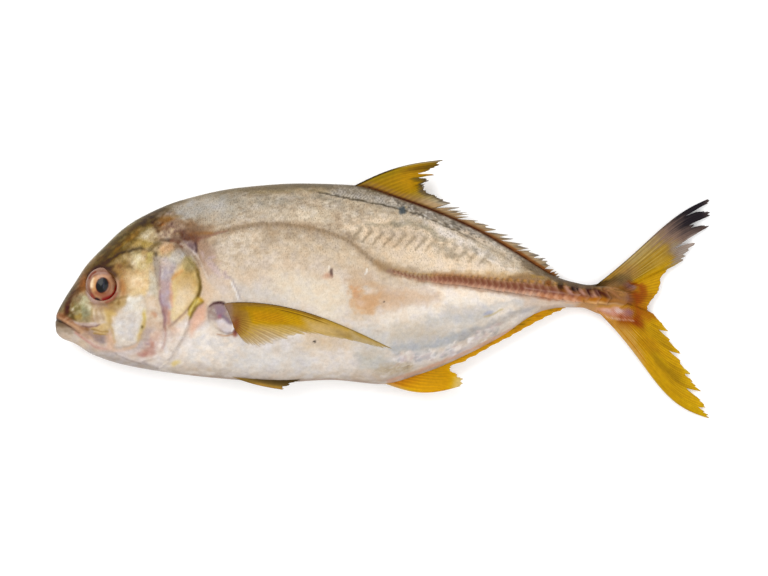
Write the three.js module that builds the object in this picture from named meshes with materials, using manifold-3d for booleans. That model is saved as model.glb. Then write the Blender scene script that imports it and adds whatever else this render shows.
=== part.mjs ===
// A whole raw trevally, ungutted, laid on its right flank with its left flank up.
//
// Millimetres. While it is drawn, x runs from the tip of the snout to the tail, y from the
// belly to the back with 0 a little above the mouth, and z up from the surface it lies on.
// The finished group is moved so that its origin is at the middle of its bounding box, at
// the bottom. The body, its head and its fins are one solid; the two eyeballs are loose in
// their sockets and are solids of their own.

import * as THREE from 'three';
import { mergeVertices } from 'three/addons/utils/BufferGeometryUtils.js';
import Module from 'manifold-3d';

const wasm = await Module();
wasm.setup();

// ---------- Driving sizes: the body ----------

// Height of the back and of the belly at distances from the snout.
const BACK = [
  [0, -20], [0.6, -15.3], [4.3, -7.3], [11.6, 4.3], [18.9, 15.3], [29.9, 26.8], [40.9, 37.2],
  [51.9, 44.5], [76.3, 54.9], [112.9, 62.8], [149.5, 65.3], [183, 64.2], [210.5, 56.1],
  [236.7, 46.4], [259.3, 36], [281.2, 23.2], [305.6, 8.5], [316, 5.2], [326.4, 3.4],
  [335, 4.6], [343, 4.6], [349, 1.5], [352, -4.5],
];
const BELLY = [
  [0, -20], [0.6, -25.6], [4.3, -29.3], [11.6, -32.3], [22.6, -39], [40.9, -45.1],
  [64.1, -49.4], [100.7, -53.7], [137.3, -56.1], [167.8, -54.6], [199.5, -57.2],
  [222.7, -51.2], [251.3, -39], [271.5, -28.4], [297.7, -12.6], [310, -10.4], [320.3, -10.4],
  [335, -14.8], [343, -14.6], [349, -11], [352, -4.5],
];

// Half the thickness of the body, from its middle plane to its flank.
const HALF_THICKNESS = [
  [0, 0], [0.6, 2.6], [4.3, 6.2], [11.6, 9.6], [25, 13.6], [50, 18.4], [80, 22.3], [120, 24.6],
  [170, 24.4], [220, 21.2], [260, 16.6], [290, 11.2], [310, 8], [325, 6.2], [335, 4.6],
  [345, 2.8], [350, 1.8], [352, 0],
];
// How fast the section thins towards the back and the belly: 1 is an ellipse, 2 a lens.
const EDGE_THINNING = [[0, 1], [60, 1.1], [150, 1.2], [250, 1.35], [320, 1.6], [352, 1.6]];
const WIDEST_SHARE = 0.53; // of the way from belly to back, where the section is thickest

const REST_HEIGHT = 21.5; // of the middle plane of the trunk over the table
const TAIL_DROOP = 20; // the tail tips sink this far below that plane
const DROOP_START = 150;
const DROOP_POWER = 1.6;
const TOTAL_LENGTH = 401.4;
const FLANK_SOFTNESS = 1.6; // how gradually the lower flank flattens on the table

// ---------- Driving sizes: the head, the eyes and the keel ----------

// Rear margin of the gill cover and of the cheek plate: distance from the snout by height.
const GILL_MARGIN = [
  [-46.7, 65.3], [-36.5, 73], [-29.6, 77.3], [-13.4, 84.2], [4.6, 89.3], [11.6, 86.6],
  [24.4, 78.1],
];
const GILL_COVER = { rise: 1.7, reach: 20, step: 1.6 };
const CHEEK_MARGIN = [[-41.5, 59.3], [-33.9, 65.3], [-18.5, 67], [-1.2, 63.6], [20.9, 61]];
const CHEEK_PLATE = { rise: 0.9, reach: 9, step: 1.4 };
const MARGIN_FADE = 5; // the two margins die out over this height past their ends

const EYE = { x: 29.4, y: 2.6, radii: [10.4, 11.5, 6], sunk: 3.7, gap: 0.3 };
const ORBIT_RIM = { radius: 11.6, rise: 0.9, width: 2.4 };
const FIN_SHOULDER = { x: 100.8, y: -16.4, rise: 2.2, width: 7.5, height: 9 };
// The keel of bony scutes follows the straight part of the lateral line.
const LATERAL_LINE = [
  [205, 9.3], [220, 7.6], [249, 5.6], [288, 0.9], [327, -3.7], [352, -5.2],
];
const KEEL = { start: 215, full: 290, end: 340, rise: 1.1, width: 2.6 };

// The mouth is a thin slit right across the snout.
const MOUTH_SLIT = [
  [-2, -16.6], [1, -17.4], [9.8, -22.5], [13.5, -25], [9.6, -23.3], [1, -18.4], [-2, -17.8],
];
const SNOUT_WIDTH = 40; // wider than the snout, so that the slit runs out of both sides

// ---------- Driving sizes: the fins ----------

// Each fin is a fan of rays, listed from its front or upper edge. A ray runs from its root,
// which is sunk in the flesh, to its tip: root x, root y, tip x, tip y, and how far it bows
// to the left of the straight line from root to tip. A torn edge is listed by ray number
// and by the share of the ray's length that is left there.
const TAIL_FIN = {
  rays: [
    [332, 5.2, 401.4, 57, 3.6], [335.5, 3.2, 401.4, 48.6, 3.6], [338.5, 1.4, 400.8, 39.6, 3],
    [340.3, 0.2, 394.4, 29.8, 2], [341.5, -1, 384.8, 18.8, 1], [342, -2.3, 373.6, 11.4, 0.5],
    [342.3, -3.6, 368.4, -0.8, 0], [342.3, -4.9, 362, -10.8, 0], [342.3, -6, 367.4, -15.6, 0],
    [341.5, -7.3, 375.2, -25.2, -1], [340.5, -8.6, 383.6, -39.4, -2],
    [338.5, -10.4, 390, -51.8, -4], [336.5, -12, 395.6, -62.2, -5.4],
    [334.5, -13.6, 398.8, -72, -6.6], [332, -15.4, 400.4, -78.8, -7.4],
  ],
  tears: [
    [0, 1], [0.4, 0.97], [0.75, 0.81], [0.95, 0.97], [1.1, 1], [1.3, 0.97], [1.62, 0.84],
    [1.9, 0.98], [2.1, 1], [2.3, 0.96], [2.72, 0.76], [3, 0.99], [3.3, 0.97], [4, 1],
    [4.4, 0.97], [5, 1], [5.5, 1], [6, 1], [6.5, 1], [7, 1], [7.5, 1], [8, 1], [8.5, 1],
    [9, 1], [9.15, 0.84], [9.6, 0.95], [10, 1], [10.15, 0.85], [10.6, 0.96], [11, 1],
    [11.3, 0.98], [12, 1], [12.15, 0.87], [12.5, 0.96], [12.85, 1], [13, 0.9], [13.4, 0.97],
    [14, 1],
  ],
  rows: 6, bowSkew: 2, rootThickness: 4.2, tipThickness: 1, sag: 0,
};
const DORSAL_FIN = {
  rays: [
    [180.5, 63, 238.6, 80.2, 5], [189.7, 59.6, 231, 71, 3.4], [198.3, 56, 228.5, 67, 1.8],
    [207.4, 53, 226, 64, 1], [215.3, 50, 231.6, 59.6, 0.6], [223.3, 46.8, 245.4, 52, 0.5],
    [231.8, 43.4, 250.6, 48.2, 0.3], [247, 37.4, 264.2, 42.4, 0], [262.3, 29.4, 279.4, 32.6, 0],
    [277.6, 20.6, 291.4, 26.6, 0], [292.8, 11.6, 303.6, 17, 0], [302, 5.6, 308.6, 8.3, 0],
  ],
  tears: [
    [0, 1], [0.4, 0.92], [0.8, 0.76], [1, 0.97], [1.1, 1], [1.35, 0.86], [2, 1], [2.4, 0.86],
    [3, 1], [3.4, 0.88], [4, 1], [4.3, 0.92], [5, 1], [5.2, 0.74], [5.6, 1], [5.8, 0.76], [6.2, 1],
    [6.4, 0.74], [6.8, 1], [7, 0.74], [7.4, 1], [7.6, 0.74], [8, 1], [8.2, 0.74], [8.6, 1],
    [8.8, 0.74], [9.2, 1], [9.4, 0.74], [9.8, 1], [10, 0.74], [10.4, 1], [10.6, 0.75], [11, 1],
  ],
  rows: 3, bowSkew: 1, rootThickness: 3, tipThickness: 1, sag: 3,
};
const ANAL_FIN = {
  rays: [
    [199, -56, 248.8, -58, -5.4], [207.4, -53, 249.6, -54.3, -3],
    [216.6, -49.6, 245.4, -50.8, -1.2], [225.7, -45.5, 242.2, -47.4, -0.5],
    [233.6, -41.6, 252.2, -43.4, 0], [247, -36.4, 265.4, -36, 0],
    [260.5, -29.6, 279, -29.2, 0], [274.5, -22, 291.7, -22.4, 0],
    [287.3, -14.4, 303.4, -16.4, 0], [298.9, -7.6, 313.4, -11.9, 0],
  ],
  tears: [
    [0, 1], [1, 1], [1.5, 0.98], [2, 1], [2.5, 0.96], [3, 1], [3.4, 0.9], [4, 1], [4.5, 0.97],
    [5, 1], [5.5, 0.97], [6, 1], [6.5, 0.97], [7, 1], [7.5, 0.97], [8, 1], [8.5, 0.97], [9, 1],
  ],
  rows: 3, bowSkew: 1, rootThickness: 3, tipThickness: 1, sag: 2,
};
const PECTORAL_FIN = {
  rays: [
    [103.6, -8, 206.8, -36, 6.6], [104.6, -10, 198, -34.8, 5.4], [105.6, -12, 184, -31.2, 4.2],
    [106.5, -14, 168, -27.7, 3], [107.3, -16, 153, -26.2, 2], [108, -18, 138, -30, 1],
    [108.7, -20, 126, -33.5, 0.3], [109.2, -22, 117.5, -31.5, -0.4],
  ],
  tears: [[0, 1], [1, 1], [2, 0.99], [3, 1], [4, 0.99], [5, 1], [6, 1], [7, 1]],
  rows: 9, bowSkew: 0.8, proud: 1.3, sunk: 1.6,
};
const PELVIC_FIN = {
  rays: [
    [106, -52, 139.7, -60.6, -1.2], [107, -51, 143.5, -57.8, -0.8], [108, -50, 149.7, -55.1, -0.4],
    [109, -48, 146, -52, 0],
  ],
  tears: [[0, 1], [0.6, 0.93], [1, 1], [1.5, 0.94], [2, 1], [3, 1]],
  rows: 6, bowSkew: 1, rootThickness: 2.4, tipThickness: 1, sag: 0, offMiddle: 3.4,
};

// ---------- Mesh fineness ----------

const RING_POINTS = 36;
const RING_SPACING = [
  [0, 0.9], [8, 2.4], [95, 3], [130, 6.5], [265, 6], [310, 3.8], [352, 2.8],
];
const EYE_SEGMENTS = 16;
const EYE_RINGS = 10;
const FLOOR_CLEARANCE = 0.05; // the flattened flank is drawn this far below the table, then cut

// ---------- Curves ----------

/** A smooth height by distance through a few stations, without overshoot between them. */
function curve(stations) {
  const count = stations.length;
  const rise = [];
  for (let i = 0; i < count - 1; i++) {
    rise.push((stations[i + 1][1] - stations[i][1]) / (stations[i + 1][0] - stations[i][0]));
  }
  const slope = stations.map((_, i) => {
    if (i === 0) return rise[0];
    if (i === count - 1) return rise[count - 2];
    if (rise[i - 1] * rise[i] <= 0) return 0;
    return (2 * rise[i - 1] * rise[i]) / (rise[i - 1] + rise[i]);
  });
  return (at) => {
    const x = Math.min(Math.max(at, stations[0][0]), stations[count - 1][0]);
    let i = 0;
    while (i < count - 2 && x > stations[i + 1][0]) i++;
    const [x0, y0] = stations[i];
    const [x1, y1] = stations[i + 1];
    const step = x1 - x0;
    const t = (x - x0) / step;
    return y0 * (1 + 2 * t) * (1 - t) ** 2 + slope[i] * step * t * (1 - t) ** 2
      + y1 * t * t * (3 - 2 * t) + slope[i + 1] * step * t * t * (t - 1);
  };
}

/** Rows of numbers read at a place between them, by a Catmull-Rom spline. */
function between(rows, place) {
  const last = rows.length - 1;
  const i = Math.min(Math.floor(place), last - 1);
  const t = place - i;
  const [a, b, c, d] = [i - 1, i, i + 1, i + 2].map((k) => rows[Math.min(Math.max(k, 0), last)]);
  return b.map((value, k) => 0.5 * (2 * value + (c[k] - a[k]) * t
    + (2 * a[k] - 5 * value + 4 * c[k] - d[k]) * t * t
    + (3 * value - a[k] - 3 * c[k] + d[k]) * t ** 3));
}

/** Straight-line reading of a list of [place, value] pairs. */
function stepped(pairs, place) {
  const i = Math.min(Math.max(pairs.findIndex(([at]) => at >= place), 1), pairs.length - 1);
  const [p0, v0] = pairs[i - 1];
  const [p1, v1] = pairs[i];
  return v0 + ((v1 - v0) * (place - p0)) / (p1 - p0);
}

const smooth = (from, to, value) => THREE.MathUtils.smoothstep(value, from, to);
const bell = (distance, width) => Math.exp(-((distance / width) ** 2));

// ---------- The form of the body ----------

const backAt = curve(BACK);
const bellyAt = curve(BELLY);
const halfThicknessAt = curve(HALF_THICKNESS);
const edgeThinningAt = curve(EDGE_THINNING);
const gillMarginAt = curve(GILL_MARGIN);
const cheekMarginAt = curve(CHEEK_MARGIN);
const lateralLineAt = curve(LATERAL_LINE);

const widestAt = (x) => bellyAt(x) + WIDEST_SHARE * (backAt(x) - bellyAt(x));

/** Height of the fish's middle plane over the table. */
function middlePlane(x) {
  const past = Math.max(0, x - DROOP_START) / (TOTAL_LENGTH - DROOP_START);
  return REST_HEIGHT - TAIL_DROOP * past ** DROOP_POWER;
}

/** A plate that stands proud in front of its rear margin and dies out forwards. */
function plate(x, y, marginAt, margin, { rise, reach, step }) {
  const inFront = marginAt(y) - x;
  const edge = smooth(-step / 2, step / 2, inFront);
  const ends = smooth(margin[0][0] - MARGIN_FADE, margin[0][0], y)
    * (1 - smooth(margin.at(-1)[0], margin.at(-1)[0] + MARGIN_FADE, y));
  return rise * edge * ends * Math.exp(-Math.max(0, inFront) / reach);
}

function orbitRim(x, y) {
  const fromEye = Math.hypot(x - EYE.x, y - EYE.y);
  return ORBIT_RIM.rise * bell(fromEye - ORBIT_RIM.radius, ORBIT_RIM.width);
}

function finShoulder(x, y) {
  const { x: atX, y: atY, rise, width, height } = FIN_SHOULDER;
  return rise * bell(x - atX, width) * bell(y - atY, height);
}

function keel(x, y) {
  const along = smooth(KEEL.start, KEEL.full, x) * (1 - smooth(KEEL.end, KEEL.end + 12, x));
  return KEEL.rise * along * bell(y - lateralLineAt(x), KEEL.width);
}

/** Distance of the flank's skin from the middle plane, at a point seen from the side. */
function flank(x, y) {
  const widest = widestAt(x);
  const reach = y > widest ? backAt(x) - widest : widest - bellyAt(x);
  const share = Math.min(1, Math.abs(y - widest) / reach);
  const roundness = Math.sqrt(1 - share * share);
  const relief = plate(x, y, gillMarginAt, GILL_MARGIN, GILL_COVER)
    + plate(x, y, cheekMarginAt, CHEEK_MARGIN, CHEEK_PLATE)
    + orbitRim(x, y) + finShoulder(x, y) + keel(x, y);
  return halfThicknessAt(x) * roundness ** edgeThinningAt(x) + relief * roundness;
}

/** The lower flank bends out of the way of the table and lies flat on it. */
function settled(height) {
  if (height >= FLANK_SOFTNESS) return height - FLOOR_CLEARANCE;
  if (height <= -FLANK_SOFTNESS) return -FLOOR_CLEARANCE;
  return (height + FLANK_SOFTNESS) ** 2 / (4 * FLANK_SOFTNESS) - FLOOR_CLEARANCE;
}

const upperSkin = (x, y) => middlePlane(x) + flank(x, y);
const lowerSkin = (x, y) => middlePlane(x) - flank(x, y);

// ---------- Closed meshes ----------

/** A geometry with its faces pointing outwards, whichever way they were listed. */
function closedGeometry(points, faces) {
  const corner = (i) => new THREE.Vector3().fromArray(points, 3 * i);
  let volume = 0;
  for (const [a, b, c] of faces) volume += corner(a).dot(corner(b).cross(corner(c)));
  const geometry = new THREE.BufferGeometry();
  geometry.setAttribute('position', new THREE.Float32BufferAttribute(points, 3));
  geometry.setIndex((volume < 0 ? faces.map(([a, b, c]) => [a, c, b]) : faces).flat());
  return geometry;
}

/** Rings of equal length joined in order, closed at both ends by a single point. */
function loft(firstPoint, rings, lastPoint) {
  const size = rings[0].length;
  const points = [firstPoint, ...rings.flat(), lastPoint].flat();
  const at = (ring, i) => 1 + ring * size + (i % size);
  const faces = [];
  for (let i = 0; i < size; i++) {
    faces.push([0, at(0, i + 1), at(0, i)]);
    faces.push([at(rings.length - 1, i), at(rings.length - 1, i + 1), points.length / 3 - 1]);
    for (let ring = 0; ring < rings.length - 1; ring++) {
      faces.push([at(ring, i), at(ring, i + 1), at(ring + 1, i + 1)]);
      faces.push([at(ring, i), at(ring + 1, i + 1), at(ring + 1, i)]);
    }
  }
  return closedGeometry(points, faces);
}

/** A thin leaf: a grid of columns and rows with an upper and a lower face, joined all round.
 *  place(column, share) gives x, y, and the heights of the two faces. */
function leaf(columns, rows, place) {
  const points = [];
  const high = columns.length;
  const at = (face, i, j) => (i * (rows + 1) + j) * 2 + face;
  for (const column of columns) {
    for (let j = 0; j <= rows; j++) {
      const { x, y, top, under } = place(column, j / rows);
      points.push(x, y, top, x, y, under);
    }
  }
  const faces = [];
  const patch = (a, b, c, d) => faces.push([a, b, c], [a, c, d]);
  for (let i = 0; i < high - 1; i++) {
    for (let j = 0; j < rows; j++) {
      patch(at(0, i, j), at(0, i + 1, j), at(0, i + 1, j + 1), at(0, i, j + 1));
      faces.push([at(1, i, j), at(1, i + 1, j + 1), at(1, i + 1, j)]);
      faces.push([at(1, i, j), at(1, i, j + 1), at(1, i + 1, j + 1)]);
    }
    patch(at(1, i, 0), at(1, i + 1, 0), at(0, i + 1, 0), at(0, i, 0));
    patch(at(0, i, rows), at(0, i + 1, rows), at(1, i + 1, rows), at(1, i, rows));
  }
  for (let j = 0; j < rows; j++) {
    patch(at(0, 0, j), at(0, 0, j + 1), at(1, 0, j + 1), at(1, 0, j));
    patch(at(1, high - 1, j), at(1, high - 1, j + 1), at(0, high - 1, j + 1), at(0, high - 1, j));
  }
  return closedGeometry(points, faces);
}

/** A point on a fin's fan: between its rays, at a share of the ray's length. */
function onRay({ rays, bowSkew }, ray, share) {
  const [rootX, rootY, tipX, tipY, bow] = between(rays, ray);
  const length = Math.hypot(tipX - rootX, tipY - rootY);
  const side = bow * Math.sin(Math.PI * share ** bowSkew);
  const x = rootX + (tipX - rootX) * share - ((tipY - rootY) / length) * side;
  const y = rootY + (tipY - rootY) * share + ((tipX - rootX) / length) * side;
  return { x, y };
}

/** A fin's leaf, with a column at each torn point and halfway between wide ones. */
function finLeaf(fin, faceHeights) {
  const columns = fin.tears.flatMap(([place], i) => {
    const next = fin.tears[i + 1]?.[0] ?? place;
    return next - place > 0.5 ? [place, (place + next) / 2] : [place];
  });
  return leaf(columns, fin.rows, (ray, share) => {
    const reach = share * stepped(fin.tears, ray);
    const { x, y } = onRay(fin, ray, reach);
    return { x, y, ...faceHeights(x, y, reach) };
  });
}

// ---------- The pieces of flesh and fin that grow together ----------

function trunk() {
  const spacingAt = curve(RING_SPACING);
  const end = BACK.at(-1)[0];
  const rings = [];
  for (let x = BACK[1][0]; x < end - spacingAt(end) / 2; x += spacingAt(x)) {
    const widest = widestAt(x);
    rings.push(Array.from({ length: RING_POINTS }, (_, i) => {
      const angle = (2 * Math.PI * i) / RING_POINTS;
      const reach = Math.sin(angle) > 0 ? backAt(x) - widest : widest - bellyAt(x);
      const y = widest + reach * Math.sin(angle);
      const isUpper = Math.cos(angle) >= 0;
      return [x, y, isUpper ? upperSkin(x, y) : settled(lowerSkin(x, y))];
    }));
  }
  const tip = ([x, y]) => [x, y, middlePlane(x)];
  return loft(tip(BACK[0]), rings, tip(BACK.at(-1)));
}

/** A fin in the middle plane: it thins and sags from root to tip. */
function medianFin(fin, offMiddle = 0) {
  return finLeaf(fin, (x, y, reach) => {
    const half = THREE.MathUtils.lerp(fin.rootThickness, fin.tipThickness, reach) / 2;
    const middle = middlePlane(x) + offMiddle - fin.sag * reach * reach;
    return { top: middle + half, under: middle - half };
  });
}

/** The pectoral fins lie folded back on the flanks, the lower one pressed on the table. */
function upperPectoral() {
  return finLeaf(PECTORAL_FIN, (x, y) => {
    const skin = upperSkin(x, y);
    return { top: skin + PECTORAL_FIN.proud, under: skin - PECTORAL_FIN.sunk };
  });
}

function lowerPectoral() {
  return finLeaf(PECTORAL_FIN, (x, y) => {
    const skin = lowerSkin(x, y);
    return {
      top: settled(skin) + PECTORAL_FIN.sunk,
      under: settled(skin - PECTORAL_FIN.proud) - FLOOR_CLEARANCE,
    };
  });
}

// ---------- The eyes, the mouth and the table ----------

/** An eyeball, flattened towards the head; grown makes the socket that it sits in. */
function eyeball(side, grown = 0) {
  const geometry = new THREE.SphereGeometry(1, EYE_SEGMENTS, EYE_RINGS);
  geometry.rotateX(Math.PI / 2);
  geometry.scale(...EYE.radii.map((radius) => radius + grown));
  const skin = middlePlane(EYE.x) + side * (flank(EYE.x, EYE.y) - EYE.sunk);
  geometry.translate(EYE.x, EYE.y, skin);
  return geometry;
}

function mouthSlit() {
  const outline = new THREE.Shape(MOUTH_SLIT.map(([x, y]) => new THREE.Vector2(x, y)));
  const geometry = new THREE.ExtrudeGeometry(outline, { depth: SNOUT_WIDTH, bevelEnabled: false });
  return geometry.translate(0, 0, middlePlane(0) - SNOUT_WIDTH / 2);
}

function table() {
  const depth = 10;
  const slab = new THREE.BoxGeometry(2 * TOTAL_LENGTH, TOTAL_LENGTH, depth);
  return slab.translate(TOTAL_LENGTH / 2, 0, -depth / 2);
}

// ---------- Joining and cutting ----------

function solidFrom(geometry) {
  const bare = geometry.clone();
  bare.deleteAttribute('normal');
  bare.deleteAttribute('uv');
  const merged = mergeVertices(bare);
  return new wasm.Manifold(new wasm.Mesh({
    numProp: 3,
    vertProperties: new Float32Array(merged.attributes.position.array),
    triVerts: new Uint32Array(merged.index.array),
  }));
}

function geometryFrom(solid) {
  const { vertProperties, triVerts } = solid.getMesh();
  const geometry = new THREE.BufferGeometry();
  geometry.setAttribute('position', new THREE.BufferAttribute(vertProperties, 3));
  geometry.setIndex(new THREE.BufferAttribute(triVerts, 1));
  geometry.computeVertexNormals();
  return geometry;
}

function fishGeometry() {
  const grown = [
    medianFin(TAIL_FIN), medianFin(DORSAL_FIN), medianFin(ANAL_FIN),
    medianFin(PELVIC_FIN, PELVIC_FIN.offMiddle), medianFin(PELVIC_FIN, -PELVIC_FIN.offMiddle),
    upperPectoral(), lowerPectoral(),
  ];
  const cut = [eyeball(1, EYE.gap), eyeball(-1, EYE.gap), mouthSlit(), table()];
  let fish = solidFrom(trunk());
  for (const piece of grown) fish = fish.add(solidFrom(piece));
  for (const piece of cut) fish = fish.subtract(solidFrom(piece));
  return geometryFrom(fish);
}

// ---------- The part ----------

const SKIN = new THREE.MeshStandardMaterial({ color: 0xc9bba6, roughness: 0.38, metalness: 0.1 });
const EYEBALL = new THREE.MeshStandardMaterial({ color: 0x57423a, roughness: 0.12, metalness: 0 });

function piece(name, geometry, material) {
  const mesh = new THREE.Mesh(geometry, material);
  mesh.name = name;
  return mesh;
}

const fish = new THREE.Group();
fish.add(piece('fish', fishGeometry(), SKIN));
fish.add(piece('eye_left', eyeball(1), EYEBALL));
fish.add(piece('eye_right', eyeball(-1), EYEBALL));

const bounds = new THREE.Box3().setFromObject(fish);
const middle = bounds.getCenter(new THREE.Vector3());
fish.position.set(-middle.x, -middle.y, -bounds.min.z);

const part = new THREE.Group();
part.add(fish);
export default part;
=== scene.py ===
"""A whole raw trevally lying on its right flank: its looks, dressed over the solid model.

Shapes are drawn in millimetres with x from the snout to the tail, y from the belly to the
back and z up from the table, as the solids are. Every mesh is then set in the part's own
frame, in metres.
"""

import bpy
import numpy as np
from mathutils import Matrix, Vector


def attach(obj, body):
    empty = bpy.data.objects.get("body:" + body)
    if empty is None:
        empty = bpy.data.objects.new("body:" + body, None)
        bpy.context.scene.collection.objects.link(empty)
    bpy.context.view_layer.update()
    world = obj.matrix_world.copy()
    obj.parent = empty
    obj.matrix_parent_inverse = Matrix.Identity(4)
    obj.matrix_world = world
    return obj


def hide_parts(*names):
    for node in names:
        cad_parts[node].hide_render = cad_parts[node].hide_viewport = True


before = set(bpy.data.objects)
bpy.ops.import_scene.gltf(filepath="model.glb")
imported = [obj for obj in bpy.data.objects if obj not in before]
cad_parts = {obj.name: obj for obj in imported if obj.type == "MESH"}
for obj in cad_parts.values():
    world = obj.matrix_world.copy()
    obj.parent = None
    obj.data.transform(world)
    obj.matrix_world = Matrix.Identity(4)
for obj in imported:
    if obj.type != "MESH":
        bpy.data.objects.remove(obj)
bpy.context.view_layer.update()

MM = 0.001
TO_PART = np.array([-200.7, -0.7, 0.0])  # the drawing's snout tip, from the part's origin

# ---------- Driving sizes of the body ----------

BACK = [
    (0, -20), (0.6, -15.3), (4.3, -7.3), (11.6, 4.3), (18.9, 15.3), (29.9, 26.8), (40.9, 37.2),
    (51.9, 44.5), (76.3, 54.9), (112.9, 62.8), (149.5, 65.3), (183, 64.2), (210.5, 56.1),
    (236.7, 46.4), (259.3, 36), (281.2, 23.2), (305.6, 8.5), (316, 5.2), (326.4, 3.4),
    (335, 4.6), (343, 4.6), (349, 1.5), (352, -4.5),
]
BELLY = [
    (0, -20), (0.6, -25.6), (4.3, -29.3), (11.6, -32.3), (22.6, -39), (40.9, -45.1),
    (64.1, -49.4), (100.7, -53.7), (137.3, -56.1), (167.8, -54.6), (199.5, -57.2),
    (222.7, -51.2), (251.3, -39), (271.5, -28.4), (297.7, -12.6), (310, -10.4),
    (320.3, -10.4), (335, -14.8), (343, -14.6), (349, -11), (352, -4.5),
]
HALF_THICKNESS = [
    (0, 0), (0.6, 2.6), (4.3, 6.2), (11.6, 9.6), (25, 13.6), (50, 18.4), (80, 22.3),
    (120, 24.6), (170, 24.4), (220, 21.2), (260, 16.6), (290, 11.2), (310, 8), (325, 6.2),
    (335, 4.6), (345, 2.8), (350, 1.8), (352, 0),
]
EDGE_THINNING = [(0, 1), (60, 1.1), (150, 1.2), (250, 1.35), (320, 1.6), (352, 1.6)]
WIDEST_SHARE = 0.53
REST_HEIGHT = 21.5
TAIL_DROOP = 20
DROOP_START = 150
DROOP_POWER = 1.6
TOTAL_LENGTH = 401.4
BODY_END = 352
FLANK_SOFTNESS = 1.6
SNOUT_ROUND = 0.6  # the snout rounds off over this length

GILL_MARGIN = [
    (-46.7, 65.3), (-36.5, 73), (-29.6, 77.3), (-13.4, 84.2), (4.6, 89.3), (11.6, 86.6),
    (24.4, 78.1),
]
CHEEK_MARGIN = [(-41.5, 59.3), (-33.9, 65.3), (-18.5, 67), (-1.2, 63.6), (20.9, 61)]
EYE = dict(x=29.4, y=2.6, across=10.4, high=11.5, deep=6, sunk=3.7)
GAPE = dict(y=-18.5, high=5, back=6)  # the mouth's slit, where it cuts into the rounded edge
LATERAL_LINE = [
    (86, 30.6), (98.6, 34.8), (108.7, 37.3), (118.8, 39.3), (128.9, 40.2), (139, 39.9),
    (149.1, 38.9), (159.2, 37), (169.4, 34.2), (177.5, 30.7), (184.5, 25.9), (189.6, 21.7),
    (195.7, 16.6), (202.8, 12.6), (209.8, 10.1), (220, 8), (249, 5.6), (288, 1.1), (307.7, -1.4),
    (327, -3.7), (352, -5.2),
]

# ---------- Driving sizes of the fins ----------

# A ray: root x, root y, tip x, tip y, and how far it bows to the left on its way.
TAIL_RAYS = [
    (330, 3.2, 401.4, 57, 3.8), (334.5, 2.4, 401.4, 48.6, 3.8), (338.5, 1.4, 400.8, 39.6, 3),
    (340.3, 0.2, 394.4, 29.8, 2), (341.5, -1, 384.8, 18.8, 1), (342, -2.3, 373.6, 11.4, 0.5),
    (342.3, -3.6, 368.4, -0.8, 0), (342.3, -4.9, 362, -10.8, 0), (342.3, -6, 367.4, -15.6, 0),
    (341.5, -7.3, 375.2, -25.2, -1), (340.5, -8.6, 383.6, -39.4, -2),
    (338.5, -10.4, 390, -51.8, -4), (336.5, -12, 395.6, -62.2, -5.4),
    (333.5, -11.6, 400.2, -74, -6.6), (330.5, -12.2, 401.3, -78.9, -8),
]
TAIL_TEARS = [
    (0, 1), (0.4, 0.99), (0.46, 0.94), (0.52, 0.88), (0.57, 0.82), (0.63, 0.88), (0.78, 0.93),
    (0.93, 0.99), (1.05, 1), (1.3, 0.99), (1.25, 0.89), (1.2, 0.77), (1.35, 0.82), (1.52, 0.87),
    (1.6, 0.84), (1.75, 0.92), (1.95, 1), (2.08, 0.98), (2.25, 0.9), (2.4, 0.82), (2.62, 0.7),
    (2.8, 0.86), (2.95, 0.97), (3.1, 0.96), (3.2, 0.9), (3.35, 0.95), (3.5, 0.89), (3.7, 0.97),
    (3.8, 0.92), (4, 1), (4.2, 0.96), (4.5, 0.99), (4.7, 0.95), (5, 1), (5.3, 0.95), (5.6, 1),
    (7, 1), (8.3, 0.96), (9, 1), (9.15, 0.82), (9.45, 0.93), (9.6, 0.91), (10, 1), (10.15, 0.82),
    (10.4, 0.95), (10.6, 0.92), (11, 1), (11.15, 0.93), (11.3, 0.95), (12, 1), (12.12, 0.87),
    (12.5, 0.97), (12.85, 1), (13, 0.94), (13.4, 0.99), (14, 1),
]
DORSAL_RAYS = [
    (180.5, 63, 238.8, 80.2, 3.6), (189.7, 59.6, 231, 71, 3.4), (198.3, 56, 228.5, 67, 1.8),
    (207.4, 53, 226, 64, 1), (215.3, 50, 233, 58.6, 0.6), (223.3, 46.8, 247.4, 51.4, 0.5),
    (231.8, 43.4, 256, 45.6, 0.3), (247, 37.4, 269, 38.6, 0), (262.3, 29.4, 284.5, 29.6, 0),
    (277.6, 20.6, 296, 22.6, 0), (292.8, 11.6, 304.6, 15, 0), (302, 5.6, 309, 8.2, 0),
]
DORSAL_TEARS = [
    (0, 1), (0.3, 1.04), (0.5, 1.03), (0.66, 0.98), (0.78, 0.92), (0.87, 0.82), (0.93, 0.88),
    (0.98, 0.98), (1.1, 1), (1.35, 0.87), (1.6, 0.95), (2, 1), (2.2, 0.88), (2.5, 0.97), (3, 1),
    (3.4, 0.88), (4, 1), (4.3, 0.92),
]
frayed = np.random.default_rng(28)  # the low rear of the fin is torn into uneven teeth
for start in np.cumsum(frayed.uniform(0.17, 0.42, 23)) + 4.3:
    tip, deep = frayed.uniform(0.84, 1.06), frayed.uniform(0.5, 0.8)
    DORSAL_TEARS += [(start, tip), (start + 0.04, tip * 0.86), (start + 0.12, tip * deep)]
DORSAL_TEARS = [tear for tear in DORSAL_TEARS if tear[0] < 11]
ANAL_RAYS = [
    (199, -56, 248.8, -58, -5.4), (207.4, -53, 249.6, -54.3, -3),
    (216.6, -49.6, 245.4, -50.8, -1.2), (225.7, -45.5, 241.4, -47, -0.5),
    (233.6, -41.6, 250.6, -43, 0), (247, -36.4, 264, -35.6, 0),
    (260.5, -29.6, 278, -28.2, 0), (274.5, -22, 291, -21, 0),
    (287.3, -14.4, 303, -14.8, 0), (298.9, -7.6, 312.6, -10.8, 0),
]
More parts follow.
